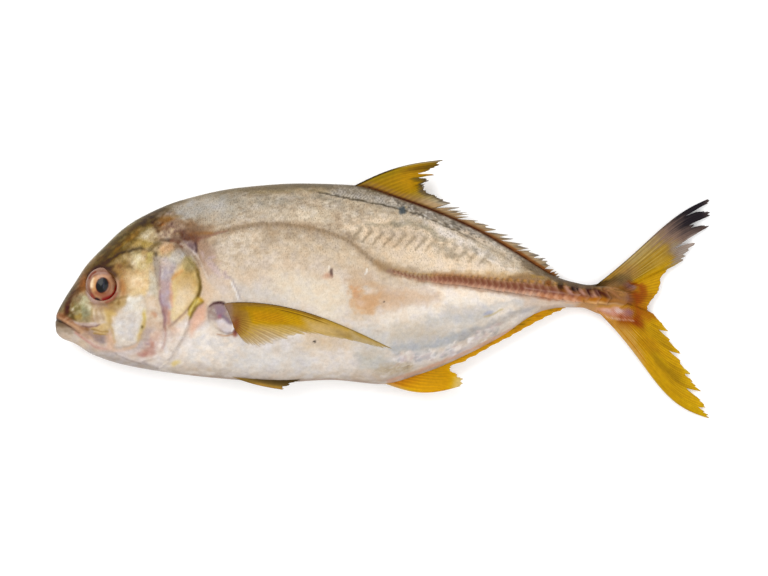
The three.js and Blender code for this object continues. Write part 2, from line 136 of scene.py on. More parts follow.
ANAL_TEARS = [
    (0, 1), (0.3, 0.97), (0.5, 1), (0.9, 0.96), (1.1, 1), (1.5, 0.94), (2, 1), (2.4, 0.93), (3, 1),
    (3.4, 0.9), (4, 1),
]
ANAL_TEARS += [(4 + 0.25 * i, (1, 0.93)[i % 2]) for i in range(1, 21)]
PECTORAL_RAYS = [
    (103.6, -8, 206.8, -36, 8.1), (104.6, -10, 198, -34.8, 6.4), (105.6, -12, 184, -31.2, 4.8),
    (106.5, -14, 168, -28.3, 3.2), (107.3, -16, 154, -27.2, 2), (108, -18, 138.6, -31, 1),
    (108.7, -20, 126, -34.4, 0.3), (109.2, -22, 117.2, -32.6, -0.4),
]
PECTORAL_TEARS = [(0, 1), (3, 1)]  # whole above, and frayed below
PECTORAL_TEARS += [(3 + 0.17 * i, (0.96, 0.9, 1, 0.93)[i % 4]) for i in range(1, 24)]
PELVIC_RAYS = [
    (106, -52, 139.7, -60.6, -1.2), (107, -51, 143.5, -57.8, -0.8),
    (108, -50, 149.7, -55.1, -0.4), (109, -48, 146, -52, 0),
]
PELVIC_TEARS = [(0, 1), (0.6, 0.93), (1, 1), (1.5, 0.94), (2, 1), (3, 1)]
PELVIC_OFF_MIDDLE = 3.4

# Where each bony scute sits: distance from the snout, and the gap to the next one.
SCUTE_GAP = [(205, 2.3), (225, 2.6), (250, 3.5), (275, 4), (300, 5.2), (318, 6.8), (334, 6)]
SCUTE_HALF_WIDTH = [
    (205, 1.3), (225, 2.5), (250, 3.2), (288, 4.4), (312, 5), (330, 4.4), (346, 2.8),
]

# ---------- Curves and noise ----------


def curve(stations):
    """A smooth height by distance through a few stations, without overshoot between them."""
    at, height = np.array(stations, float).T
    step = np.diff(at)
    rise = np.diff(height) / step
    product = rise[:-1] * rise[1:]
    middle = np.where(product > 0, 2 * product / np.where(product > 0, rise[:-1] + rise[1:], 1), 0)
    slope = np.concatenate([rise[:1], middle, rise[-1:]])

    def read(x):
        x = np.clip(x, at[0], at[-1])
        i = np.clip(np.searchsorted(at, x, side="right") - 1, 0, len(at) - 2)
        t = (x - at[i]) / step[i]
        return (height[i] * (1 + 2 * t) * (1 - t) ** 2 + slope[i] * step[i] * t * (1 - t) ** 2
                + height[i + 1] * t * t * (3 - 2 * t) + slope[i + 1] * step[i] * t * t * (t - 1))
    return read


def between(rows, place):
    """Rows of numbers read at places between them, by a Catmull-Rom spline."""
    rows = np.array(rows, float)
    i = np.clip(np.floor(place).astype(int), 0, len(rows) - 2)
    t = (place - i)[..., None]
    a, b, c, d = (rows[np.clip(i + k, 0, len(rows) - 1)] for k in (-1, 0, 1, 2))
    return 0.5 * (2 * b + (c - a) * t + (2 * a - 5 * b + 4 * c - d) * t * t
                  + (3 * b - a - 3 * c + d) * t ** 3)


def stepped(pairs, place):
    """Straight-line reading of a list of (place, value)."""
    places, values = zip(*pairs)
    return np.interp(place, places, values)


def smooth(start, end, value):
    t = np.clip((value - start) / (end - start), 0, 1)
    return t * t * (3 - 2 * t)


def fade(start, end, value):
    return 1 - smooth(start, end, value)


def bell(distance, width):
    return np.exp(-((distance / width) ** 2))


MOTTLE_CELLS = 96  # after so many the blotches repeat


def mottle(x, y, size, seed):
    """Soft random blotches, -1 to 1, of about the given size in mm."""
    cells = MOTTLE_CELLS
    table = np.random.default_rng(seed).uniform(-1, 1, (cells + 1, cells + 1))
    u, v = x / size, y / size
    i, j = np.floor(u).astype(int), np.floor(v).astype(int)
    s, t = u - i, v - j
    s, t = s * s * (3 - 2 * s), t * t * (3 - 2 * t)
    i, j = i % cells, j % cells
    low = table[i, j] * (1 - s) + table[i + 1, j] * s
    high = table[i, j + 1] * (1 - s) + table[i + 1, j + 1] * s
    return low * (1 - t) + high * t


# ---------- The form of the body ----------

back_curve, belly_curve = curve(BACK), curve(BELLY)
thickness_curve = curve(HALF_THICKNESS)
edge_thinning = curve(EDGE_THINNING)
gill_margin, cheek_margin = curve(GILL_MARGIN), curve(CHEEK_MARGIN)
lateral_line = curve(LATERAL_LINE)


def rounded_snout(read, x):
    """A height that leaves the very tip of the snout as a round, not as a cone."""
    tip, full = read(0.0), read(SNOUT_ROUND)
    share = np.sqrt(np.clip(x / SNOUT_ROUND, 0, 1))
    return np.where(x < SNOUT_ROUND, tip + (full - tip) * share, read(x))


def back_at(x):
    return rounded_snout(back_curve, x)


def belly_at(x):
    return rounded_snout(belly_curve, x)


def widest_at(x):
    return belly_at(x) + WIDEST_SHARE * (back_at(x) - belly_at(x))


def share_of_height(x, y):
    """How far up a point lies: 0 at the belly, 1 at the back."""
    return (y - belly_at(x)) / np.maximum(back_at(x) - belly_at(x), 1e-3)


def along_line(rise, start, end, count):
    """Points that follow the lateral line, raised by so many mm."""
    x = np.linspace(start, end, count)
    return list(zip(x, lateral_line(x) + rise))


def middle_plane(x):
    past = np.maximum(0, x - DROOP_START) / (TOTAL_LENGTH - DROOP_START)
    return REST_HEIGHT - TAIL_DROOP * past ** DROOP_POWER


def roundness_at(x, y):
    widest = widest_at(x)
    reach = np.where(y > widest, back_at(x) - widest, widest - belly_at(x))
    share = np.minimum(1, np.abs(y - widest) / np.maximum(reach, 1e-6))
    return np.sqrt(1 - share * share)


def flank(x, y):
    """Half the body's thickness at a point seen from the side, without its relief."""
    return rounded_snout(thickness_curve, x) * roundness_at(x, y) ** edge_thinning(x)


def settled(height):
    """The lower flank bends out of the way of the table and lies flat on it."""
    bending = (height + FLANK_SOFTNESS) ** 2 / (4 * FLANK_SOFTNESS)
    return np.where(height >= FLANK_SOFTNESS, height, np.where(height <= -FLANK_SOFTNESS, 0, bending))


# ---------- Colour ----------


def tone(hue):
    """A named sRGB hex colour as three numbers, still in sRGB, for mixing by eye."""
    return np.array([int(hue[i:i + 2], 16) for i in (1, 3, 5)]) / 255


def linear(hue):
    """The one way from an sRGB hex value, or mixed sRGB numbers, to linear light."""
    srgb = tone(hue) if isinstance(hue, str) else np.clip(hue, 0, 1)
    return np.where(srgb <= 0.04045, srgb / 12.92, ((srgb + 0.055) / 1.055) ** 2.4)


STUDIO_GAIN = 1.34  # the light on a level surface, by which painted colours are held back
STUDIO_HAZE = 0.022  # the gloss that the white studio lays over the colours of fins and scutes
SKIN_HAZE = 0.008  # the same over the skin
CORNEA_HAZE = 0.03  # the same over the eye, which is much glossier
DARKEST = 0.0015  # in linear light, before the studio's gain is taken off


def albedo(paint, haze=STUDIO_HAZE):
    """The colour a surface needs, to look like the painted one under the studio's light."""
    return np.maximum(linear(paint) - haze, DARKEST) / STUDIO_GAIN


class Coat:
    """Colour and relief laid over points of the drawing, one feature after another.
    round is the place along the girth, by which grain, flecks and ragged edges are spread."""

    def __init__(self, x, y, left, base, round=None):
        self.x, self.y, self.left = x, y, left
        self.round = y if round is None else round
        self.colour = np.array(base, float)
        self.relief = np.zeros(len(x))
        self.wander_x = mottle(x, self.round, 2.2, 11) + 0.8 * mottle(x, self.round, 6, 12)
        self.wander_y = mottle(x, self.round, 2.2, 13) + 0.8 * mottle(x, self.round, 6, 14)
        self.fine = mottle(x, self.round, 1.1, 15)
        self.left_only = False  # while it is set, features keep to the left flank

    def near(self, points, margin):
        points = np.array(points, float)
        low, high = points.min(0) - margin, points.max(0) + margin
        inside = (self.x > low[0]) & (self.x < high[0]) & (self.y > low[1]) & (self.y < high[1])
        return np.flatnonzero(inside)

    def at(self, here, ragged):
        return (self.x[here] + ragged * self.wander_x[here],
                self.y[here] + ragged * self.wander_y[here])

    def lay(self, here, mask, hue, strength=1, relief=0, grain=0, flecks=None, veins=None):
        """Flecks (size in mm, seed, level) break the mask into random spots above a level;
        veins (size in mm, seed, thinness) leave only wandering lines of it."""
        mask = mask * self.left[here] if self.left_only else mask
        if flecks:
            size, seed, level = flecks
            spots = mottle(self.x[here] * 0.8, self.round[here], size, seed)
            mask = mask * smooth(level - 0.25, level + 0.25, spots)
        if veins:
            size, seed, thin = veins
            ways = mottle(self.x[here], self.round[here], size, seed)
            ways = ways + 0.5 * mottle(self.x[here], self.round[here], size / 2, seed + 1)
            mask = mask * bell(ways, thin)
        cover = np.clip(mask * strength * (1 + grain * self.fine[here]), 0, 1)[:, None]
        self.colour[here] += cover * (tone(hue) - self.colour[here])
        self.relief[here] += relief * mask

    def fill(self, hue, mask, strength=1, **rest):
        """Colour over every point, by a mask that has a value for each."""
        self.lay(np.arange(len(self.x)), mask, hue, strength, **rest)

    def blot(self, hue, strength, x, y, across, high, turn=0, soft=0.5, ragged=0.5, **rest):
        """An oval of colour; turn is in degrees, from the x axis towards the back."""
        margin = 1.3 * max(across, high) * (1 + soft) + 3 * ragged
        here = self.near([(x, y)], margin)
        px, py = self.at(here, ragged)
        cos, sin = np.cos(np.radians(turn)), np.sin(np.radians(turn))
        u = ((px - x) * cos + (py - y) * sin) / across
        v = ((py - y) * cos - (px - x) * sin) / high
        self.lay(here, fade(1 - soft, 1 + soft, np.hypot(u, v)), hue, strength, **rest)

    def band(self, hue, strength, width, points, soft=0.9, ragged=0.3, **rest):
        """A stroke along points; width is half its breadth, or (first, last) of them."""
        first, last = width if isinstance(width, tuple) else (width, width)
        here = self.near(points, 2 * max(first, last) + 3 * ragged)
        px, py = self.at(here, ragged)
        best, best_share = np.full(len(here), 1e9), np.zeros(len(here))
        for i, share, far in strokes(points, px, py):
            closer = far < best
            best = np.where(closer, far, best)
            best_share = np.where(closer, (i + share) / (len(points) - 1), best_share)
        wide = first + (last - first) * best_share
        mask = fade(1 - soft, 1 + soft, best / wide)
        self.lay(here, mask, hue, strength, **rest)

    def area(self, hue, strength, soft, points, ragged=0.5, **rest):
        """The inside of an outline; soft is how far its edge fades, in mm."""
        here = self.near(points, soft + 3 * ragged)
        px, py = self.at(here, ragged)
        closed = list(points) + [points[0]]
        far = np.full(len(here), 1e9)
        for _, _, distance in strokes(closed, px, py):
            far = np.minimum(far, distance)
        inside = np.zeros(len(here), bool)
        for (x0, y0), (x1, y1) in zip(closed, closed[1:]):
            crosses = ((y0 > py) != (y1 > py))
            inside ^= crosses & (px < x0 + (py - y0) * (x1 - x0) / ((y1 - y0) or 1e-9))
        self.lay(here, smooth(-soft, soft, np.where(inside, far, -far)), hue, strength, **rest)


def strokes(points, x, y):
    """For each leg of a path: its number, how far along it, and the distance from it."""
    for i, ((x0, y0), (x1, y1)) in enumerate(zip(points, points[1:])):
        dx, dy = x1 - x0, y1 - y0
        share = np.clip(((x - x0) * dx + (y - y0) * dy) / (dx * dx + dy * dy + 1e-9), 0, 1)
        yield i, share, np.hypot(x - x0 - share * dx, y - y0 - share * dy)


def ramp(stops, place):
    """Colours by place, mixed between named stops of (place, hue)."""
    places = [at for at, _ in stops]
    hues = np.array([tone(hue) for _, hue in stops])
    return np.stack([np.interp(place, places, hues[:, k]) for k in range(3)], 1)


# ---------- The skin's colours ----------

# Relative height from belly to back: pearly below, buff on the flank, olive on the back.
FLANK_TONES = [
    (0, "#a8988a"), (0.025, "#c3b5a7"), (0.08, "#d8cfc7"), (0.25, "#ded5cd"), (0.4, "#dfd1c2"),
    (0.55, "#d7c5b0"), (0.68, "#cab8a1"), (0.82, "#bcab95"), (0.93, "#a89b87"), (0.975, "#897a62"),
    (1, "#6c5d47"),
]
HEAD_TONES = [
    (0, "#a3968f"), (0.1, "#b7aaa3"), (0.25, "#d3c3b9"), (0.45, "#dccdb8"), (0.62, "#d8c29c"),
    (0.76, "#b8a06c"), (0.86, "#85724a"), (0.95, "#5e5338"), (1, "#746a4e"),
]


def base_tones(x, y):
    height = np.clip(share_of_height(x, y), 0, 1)
    height = np.clip(height + 0.02 * mottle(x, y, 9, 21), 0, 1)
    head = fade(-6, 8, x - np.where(y > 24, 62 + 0.15 * (y - 24), gill_margin(y)))
    trunk = ramp(FLANK_TONES, height)
    return trunk + head[:, None] * (ramp(HEAD_TONES, height) - trunk)


def paint_trunk(p):
    """The flank behind the gill cover, as both sides of the fish have it."""
    height = share_of_height(p.x, p.y)
    for size, seed, hue, level in (
            (9, 22, "#97846e", 0.1), (3.4, 23, "#84694a", 0.3), (5, 24, "#f2e7d8", 0.1),
            (2, 29, "#7b6850", 0.25), (1.7, 30, "#f4ead8", 0.3)):
        p.fill(hue, 0.3 + 0.7 * smooth(0.5, 0.8, height), 0.25, flecks=(size, seed, level))
    p.fill("#bfa792", fade(0.3, 0.6, height), 0.16, flecks=(7, 25, 0.2))
    p.fill("#f1eae4", fade(0.2, 0.5, height), 0.3, flecks=(4, 26, 0.1))
    p.fill("#8d7862", smooth(0.3, 0.7, height), 0.16, veins=(6, 27, 0.1))
    p.area("#a09c92", 0.6, 6, [
        (74, 52), (90, 56), (112, 59), (118, 52), (106, 44), (88, 41), (76, 44)], ragged=2)
    p.area("#9b8a66", 0.6, 1.6, [
        (118, 60.5), (150, 62.6), (184, 61.5), (184, 58.6), (150, 60.2), (118, 58.4)])
    p.band("#74664c", 0.85, (1.4, 2.4), [
        (58, 47.2), (76, 54.6), (95, 59.2), (113, 62.3), (150, 64.9)], soft=0.6)
    p.band("#675b45", 0.9, (2, 3), [(145, 64.9), (168, 64.9), (183, 63.9), (194, 61)], soft=0.6)
    p.area("#927d68", 0.8, 5, [
        (62, 45), (80, 42), (90, 38), (94, 28), (90, 16), (84, 12), (70, 26)], ragged=2)
    p.area("#7f6248", 0.6, 4, [(66, 42), (88, 42), (96, 36), (94, 30), (84, 27), (70, 30)], ragged=2)
    p.area("#b9b6b2", 0.5, 4, [(70, 49), (84, 54.6), (104, 57.6), (106, 52), (92, 47), (76, 45)], ragged=1.6)
    p.area("#b5a48a", 0.6, 4, [
        (150, 56), (172, 56), (206, 46), (232, 36), (250, 30), (240, 36), (212, 47), (180, 58), (150, 61)],
        ragged=2)
    p.area("#e6d2b8", 0.9, 4, [
        (176, 40), (200, 46), (222, 38), (246, 31), (268, 20), (284, 11), (262, 9), (232, 11), (206, 17),
        (196, 26), (180, 36)], ragged=1.5)
    p.area("#e6dbcf", 0.85, 2, [
        (222, 44), (236, 39.5), (256, 28.5), (280, 14), (288, 9), (280, 9.6), (256, 22), (234, 35)],
        ragged=1)
    p.area("#ebe1d5", 0.85, 6, [
        (206, 1), (240, -1), (270, -5), (298, -9), (282, -17), (262, -20), (240, -22), (222, -26),
        (200, -30), (196, -14)], ragged=1.5)
    p.area("#c4ac90", 0.2, 5, [(178, 12), (200, 2), (214, 20), (222, 30), (206, 34), (192, 24)], ragged=2)
    p.area("#c4bcb4", 0.6, 4, [(236, -7), (262, -8), (266, -16), (250, -20), (236, -17)], ragged=1)
    p.area("#dcd9d6", 0.6, 9, [(92, -28), (130, -36), (172, -40), (186, -46), (160, -52), (110, -50)])
    p.area("#c9c4bf", 0.6, 6, [(112, 4), (140, 2), (150, -8), (130, -9), (112, -7)])
    p.area("#e4d8c4", 0.7, 6, [
        (136, 12), (160, 8), (176, 6), (178, -8), (168, -18), (146, -6), (132, 2)], ragged=2)
    p.area("#d0b795", 0.6, 5, [(150, -26), (176, -22), (184, -30), (172, -38), (152, -36)], ragged=2)
    p.area("#bdb9b2", 0.6, 5, [
        (184, -22), (240, -24), (262, -18), (250, -28), (236, -34), (196, -38), (182, -32)], ragged=2)
    # the sheath of scaly skin along the root of the dorsal fin, and its dotted edge
    p.area("#9c9284", 0.9, 1, [
        (166, 61), (180, 62.6), (192, 60.6), (206, 57), (217, 53), (236, 45.6), (252, 38.6), (266, 31),
        (281, 22), (300, 11), (296, 10.6), (284, 18), (272, 24.8), (260, 31.2), (248, 37), (234, 42),
        (219, 46.6), (206, 50), (186, 54.6), (170, 58)])
    p.area("#d8c6b2", 0.85, 1.4, [
        (246, 39), (262, 31.6), (278, 22.6), (292, 14.6), (290, 13.4), (276, 21), (260, 29.6), (246, 36.4)],
        ragged=0.8)
    p.band("#83796c", 0.5, 1.5, [(188, 60), (206, 54.6), (220, 49.4), (236, 43.4), (248, 38)])
    for i in range(24):
        x = 170 + 2.1 * i
        y = np.interp(x, [170, 190, 208, 219], [58.6, 55.4, 50.6, 48])
        length = 6.5 * smooth(168, 176, x) * fade(206, 222, x) + 1.5
        p.band("#c8c0b4", 0.7, 0.5, [
            (x, y), (x - 0.55 * length, y + 0.8 * length)], soft=0.6, ragged=0.5, relief=0.15)
        p.band("#6f675b", 0.6, 0.4, [
            (x + 1, y), (x + 1 - 0.5 * length, y + 0.75 * length)], soft=0.6, ragged=0.5, relief=-0.15)
    for i in range(84):
        x = 160 + 1.42 * i
        y = np.interp(x, [160, 178, 190, 200, 210, 220, 230, 240, 250, 260, 280],
                      [60, 56.4, 54, 51.6, 49.2, 46.8, 42.7, 38.2, 33.8, 28.7, 17.4])
        p.blot("#463e30", 0.85 - 0.6 * smooth(226, 262, x), x, y, 0.8, 0.45, turn=-20, soft=0.6, relief=-0.1)
    speckle = np.random.default_rng(5)

    def sheath_spots(count, hues, strength, start, end, deepest, across):
        for i in range(count):
            x = speckle.uniform(start, end)
            y = float(back_at(x)) - speckle.uniform(0.8, deepest) * np.interp(x, [236, 256], [1, 0.66])
            strong = speckle.uniform(0.4, 1) * strength * np.interp(x, [240, 262], [1, 0.8])
            p.blot(hues[i % len(hues)], strong, x, y, speckle.uniform(0.5, 1) * across, 0.5,
                   turn=speckle.uniform(-60, 20), ragged=0.4)

    sheath_spots(260, ("#4f483e", "#d8d0c4", "#6a6156"), 0.85, 203, 296, 7.6, 1.2)
    sheath_spots(90, ("#857d70", "#cfc6ba"), 0.6, 172, 206, 7, 1)
    sheath_spots(90, ("#857a68",), 0.5, 150, 290, 16, 0.8)
    # grey clouds below the back, and the slanting ends of the muscle blocks
    p.band("#8f8671", 0.55, (1, 1.6), [(190, 40.6), (199, 39.4), (206, 40)], ragged=1)
    p.band("#8f8874", 0.6, (1.8, 1.2), [(205, 40), (214, 40.8), (226, 38), (236, 31)], ragged=1.2)
    p.blot("#837d6d", 0.75, 208, 39, 2.4, 1.8, soft=0.8, ragged=1)
    for x, y, across, high in (
            (243, 21, 4, 2), (238, 24.6, 3, 1.6), (232, 26.6, 3.4, 1.6), (266, 20.6, 3, 1.4),
            (256, 24.4, 2.6, 1.2), (252, 21.4, 2.4, 1.3), (274, 16, 3, 1.4), (284, 12, 3, 2),
            (262, 17, 3.6, 1.4), (246, 15, 2, 1)):
        p.blot("#857c6c", 0.6 - 0.2 * (x > 250), x, y, across, high, turn=-25, soft=0.8, ragged=1.2)
    for i in range(13):
        x = 181 + 6.4 * i
        y = np.interp(x, [180, 198, 212, 228, 245, 268], [31, 27, 26, 23.5, 18, 13])
        p.band("#7d6e58", 0.62 - 0.02 * i, (0.6, 1.3), [
            (x, y), (x + 3, y + 3.6), (x + 5.6, y + 6.4)], soft=0.95, ragged=0.45)
        p.blot("#8a8070", 0.4, x + 5, y + 8.4, 2.4, 1.2, turn=-25, soft=0.8, ragged=1.2)
    for i in range(9):
        x = 112 + 8 * i
        y = 51.6 - 0.4 * i
        p.band("#857560", 0.45, 0.5, [(x, y), (x + 2.4, y - 3), (x + 5, y - 6.4)], ragged=0.8)
    for x, y, across, high in ((100, 56, 6, 2.4), (127, 54, 6, 2.6), (139, 54, 6, 2), (166, 55, 7, 1.6),
                               (150, 57, 5, 1.4), (113, 55, 4, 1.6), (88, 50, 5, 3)):
        p.blot("#827c6e", 0.5, x, y, across, high, turn=-8, soft=0.9, ragged=1.6)
    p.area("#6a5a40", 0.36, 2.2, [
        (116, 64), (150, 67), (186, 65), (204, 58), (196, 57), (180, 60), (150, 61.6), (118, 59)], ragged=1)
    p.area("#a58c72", 0.2, 3.4, [
        (196, 38), (208, 40.6), (222, 37), (224, 33), (214, 27), (201, 26), (195, 32)], ragged=1.4)
    p.area("#e6d8c0", 0.45, 3, [
        (150, 50), (160, 51), (170, 49), (170, 43), (162, 41), (150, 43)], ragged=1.4)
    p.area("#b8905c", 0.2, 3, [(180, -8), (194, -8), (194, -18), (180, -18)], ragged=1.4)
    p.area("#cdc0ae", 0.4, 2, [(206, 48.6), (216, 46), (226, 42), (222, 39), (210, 42)], ragged=1.4)
    p.area("#8a7458", 0.28, 3, [(124, 42), (148, 42), (150, 30), (126, 28)], ragged=1.4)
    p.area("#b0a28e", 0.35, 4, [(206, -17), (232, -18), (236, -28), (206, -29)], ragged=1.4)
    p.area("#b2926f", 0.3, 3, [(178, 13), (194, 11), (196, 2), (180, 1)], ragged=1.2)
    p.area("#c2b8aa", 0.45, 3, [
        (78, 56), (88, 60), (100, 56), (108, 46), (100, 40), (90, 46), (80, 50)], ragged=1.4)
    p.area("#d8ccb8", 0.45, 3, [(138, 50), (150, 50), (156, 44), (150, 40), (138, 42)], ragged=1.4)
    p.area("#b5a08c", 0.4, 3, [(246, -30), (258, -28), (262, -33), (254, -37), (246, -36)], ragged=1.2)
    p.area("#6e6250", 0.6, 2, [(164, 68), (188, 68), (190, 63), (166, 62)], ragged=1)
    p.area("#a8845c", 0.45, 2, [(258, -30), (268, -30), (270, -34), (260, -36)], ragged=1)
    p.area("#a8864c", 0.5, 2, [(298, -11), (308, -11), (308, -15), (298, -15)], ragged=1)
    p.area("#f0dcc4", 0.45, 3, [(232, 18), (246, 18), (262, 14), (264, 9), (248, 11), (234, 13)], ragged=1.2)
    p.area("#dac8b0", 0.45, 3, [(226, 29), (238, 28), (244, 23), (236, 20), (226, 23)], ragged=1.2)
    p.area("#cabfae", 0.4, 3, [(120, 50), (134, 50), (134, 40), (120, 41)], ragged=1.4)
    p.area("#c8baae", 0.5, 3, [(128, -50), (148, -50), (148, -54), (128, -54)], ragged=1)
    p.area("#d6c0a6", 0.5, 3, [(188, 20), (204, 19), (206, 12), (196, 10), (188, 13)], ragged=1.2)
    p.area("#d8c6ac", 0.4, 3, [
        (140, 30), (172, 31), (206, 20), (212, 14), (196, 12), (160, 20), (140, 24)], ragged=1.4)
    p.area("#d3c5ae", 0.35, 3, [
        (262, 31), (278, 24), (290, 15), (284, 12), (268, 20), (256, 27)], ragged=1.2)
    p.area("#fbf1e4", 0.6, 3, [
        (214, 0), (236, -0.6), (258, -3.6), (276, -6.4), (262, -9), (240, -9), (222, -8)], ragged=1)
    # the lateral line
    line = along_line(0, 88, 205, 40)
    p.band("#a58e74", 0.6, (2, 2.6), line, soft=1, ragged=0.6)
    p.band("#8d745a", 0.5, 1, line, soft=1, ragged=0.35, relief=0.15)
    for i in range(78):
        x = 92 + 1.42 * i
        y = float(lateral_line(x))
        p.band("#7a6848", 0.42, 0.3, [(x, y - 1.2), (x + 0.3, y + 1.0)], ragged=0.2)
    p.band("#8e5f4c", 0.6, (1.3, 0.4), [(82, 32.5), (90, 31.6), (97, 34), (106, 36.4)])
    # blue-grey bands over the root of the anal fin
    p.band("#a9acb0", 0.7, (2.4, 2), [
        (206, -35), (232, -33.4), (241, -29.6), (250, -25.6), (258, -23.4)], ragged=1.2)
    p.band("#aaa5a2", 0.7, (2.2, 1.6), [
        (248, -28), (262, -22.5), (275, -16.4), (284, -12), (294, -9.4)], ragged=1)
    p.band("#bcbcbc", 0.55, (3.2, 2.6), [(228, -18), (246, -18), (258, -15.5), (264, -13)], ragged=1.4)
    p.band("#c9c6c4", 0.6, 2, [(262, -10), (276, -7), (292, -7)], ragged=1.4)
    p.blot("#a2a5ba", 0.8, 263.8, -13.6, 2.6, 1.2, turn=20, soft=0.7)
    p.band("#b7a066", 0.5, 0.6, [(262, -15.8), (267, -14.2), (272, -11.6)])
    p.area("#d9d2cf", 0.7, 3, [
        (216, -38), (236, -37.4), (252, -31), (266, -25), (262, -29), (246, -38), (232, -43), (214, -44)])
    for _ in range(110):
        x = speckle.uniform(206, 270)
        y = np.interp(x, [206, 236, 270], [-42, -38.6, -23.4]) + speckle.uniform(-4, 4)
        hue = ("#a3a2a2", "#eee8e6", "#c3b2b0")[speckle.integers(3)]
        p.blot(hue, 0.6, x, y, speckle.uniform(0.7, 2.2), 0.8, turn=speckle.uniform(0, 50), soft=0.7,
               ragged=0.8)
    p.area("#b3b2aa", 0.6, 4, [(184, -38), (198, -38), (206, -44), (196, -49), (186, -46)], ragged=1.5)
    p.area("#e9ddd2", 0.5, 4, [(156, -36), (178, -37), (182, -48), (160, -50)], ragged=1.5)
    p.band("#c99c84", 0.75, (1.1, 0.9), [
        (203, -55.4), (222, -49), (243, -41), (262, -32.2), (282, -22)], soft=0.8)
    p.band("#a18c7c", 0.8, 0.8, [(84, -51.6), (110, -54), (137, -55.6), (168, -54.2), (190, -56)])


def paint_dorsal_line(p):
    """The dark red-brown line along the back's edge, on the skin and on the fin alike."""
    above = p.y - back_at(p.x)
    ends = smooth(182, 190, p.x) * fade(303, 308, p.x)
    thick = np.interp(p.x, [184, 215, 260, 300], [0.8, 1, 1.1, 1])
    p.fill("#47291a", bell((above - 0.1) / thick, 1) * ends, 0.95)
    p.fill("#7f4a28", bell((above - 1.5) / 0.9, 1) * ends * smooth(222, 290, p.x), 0.8)


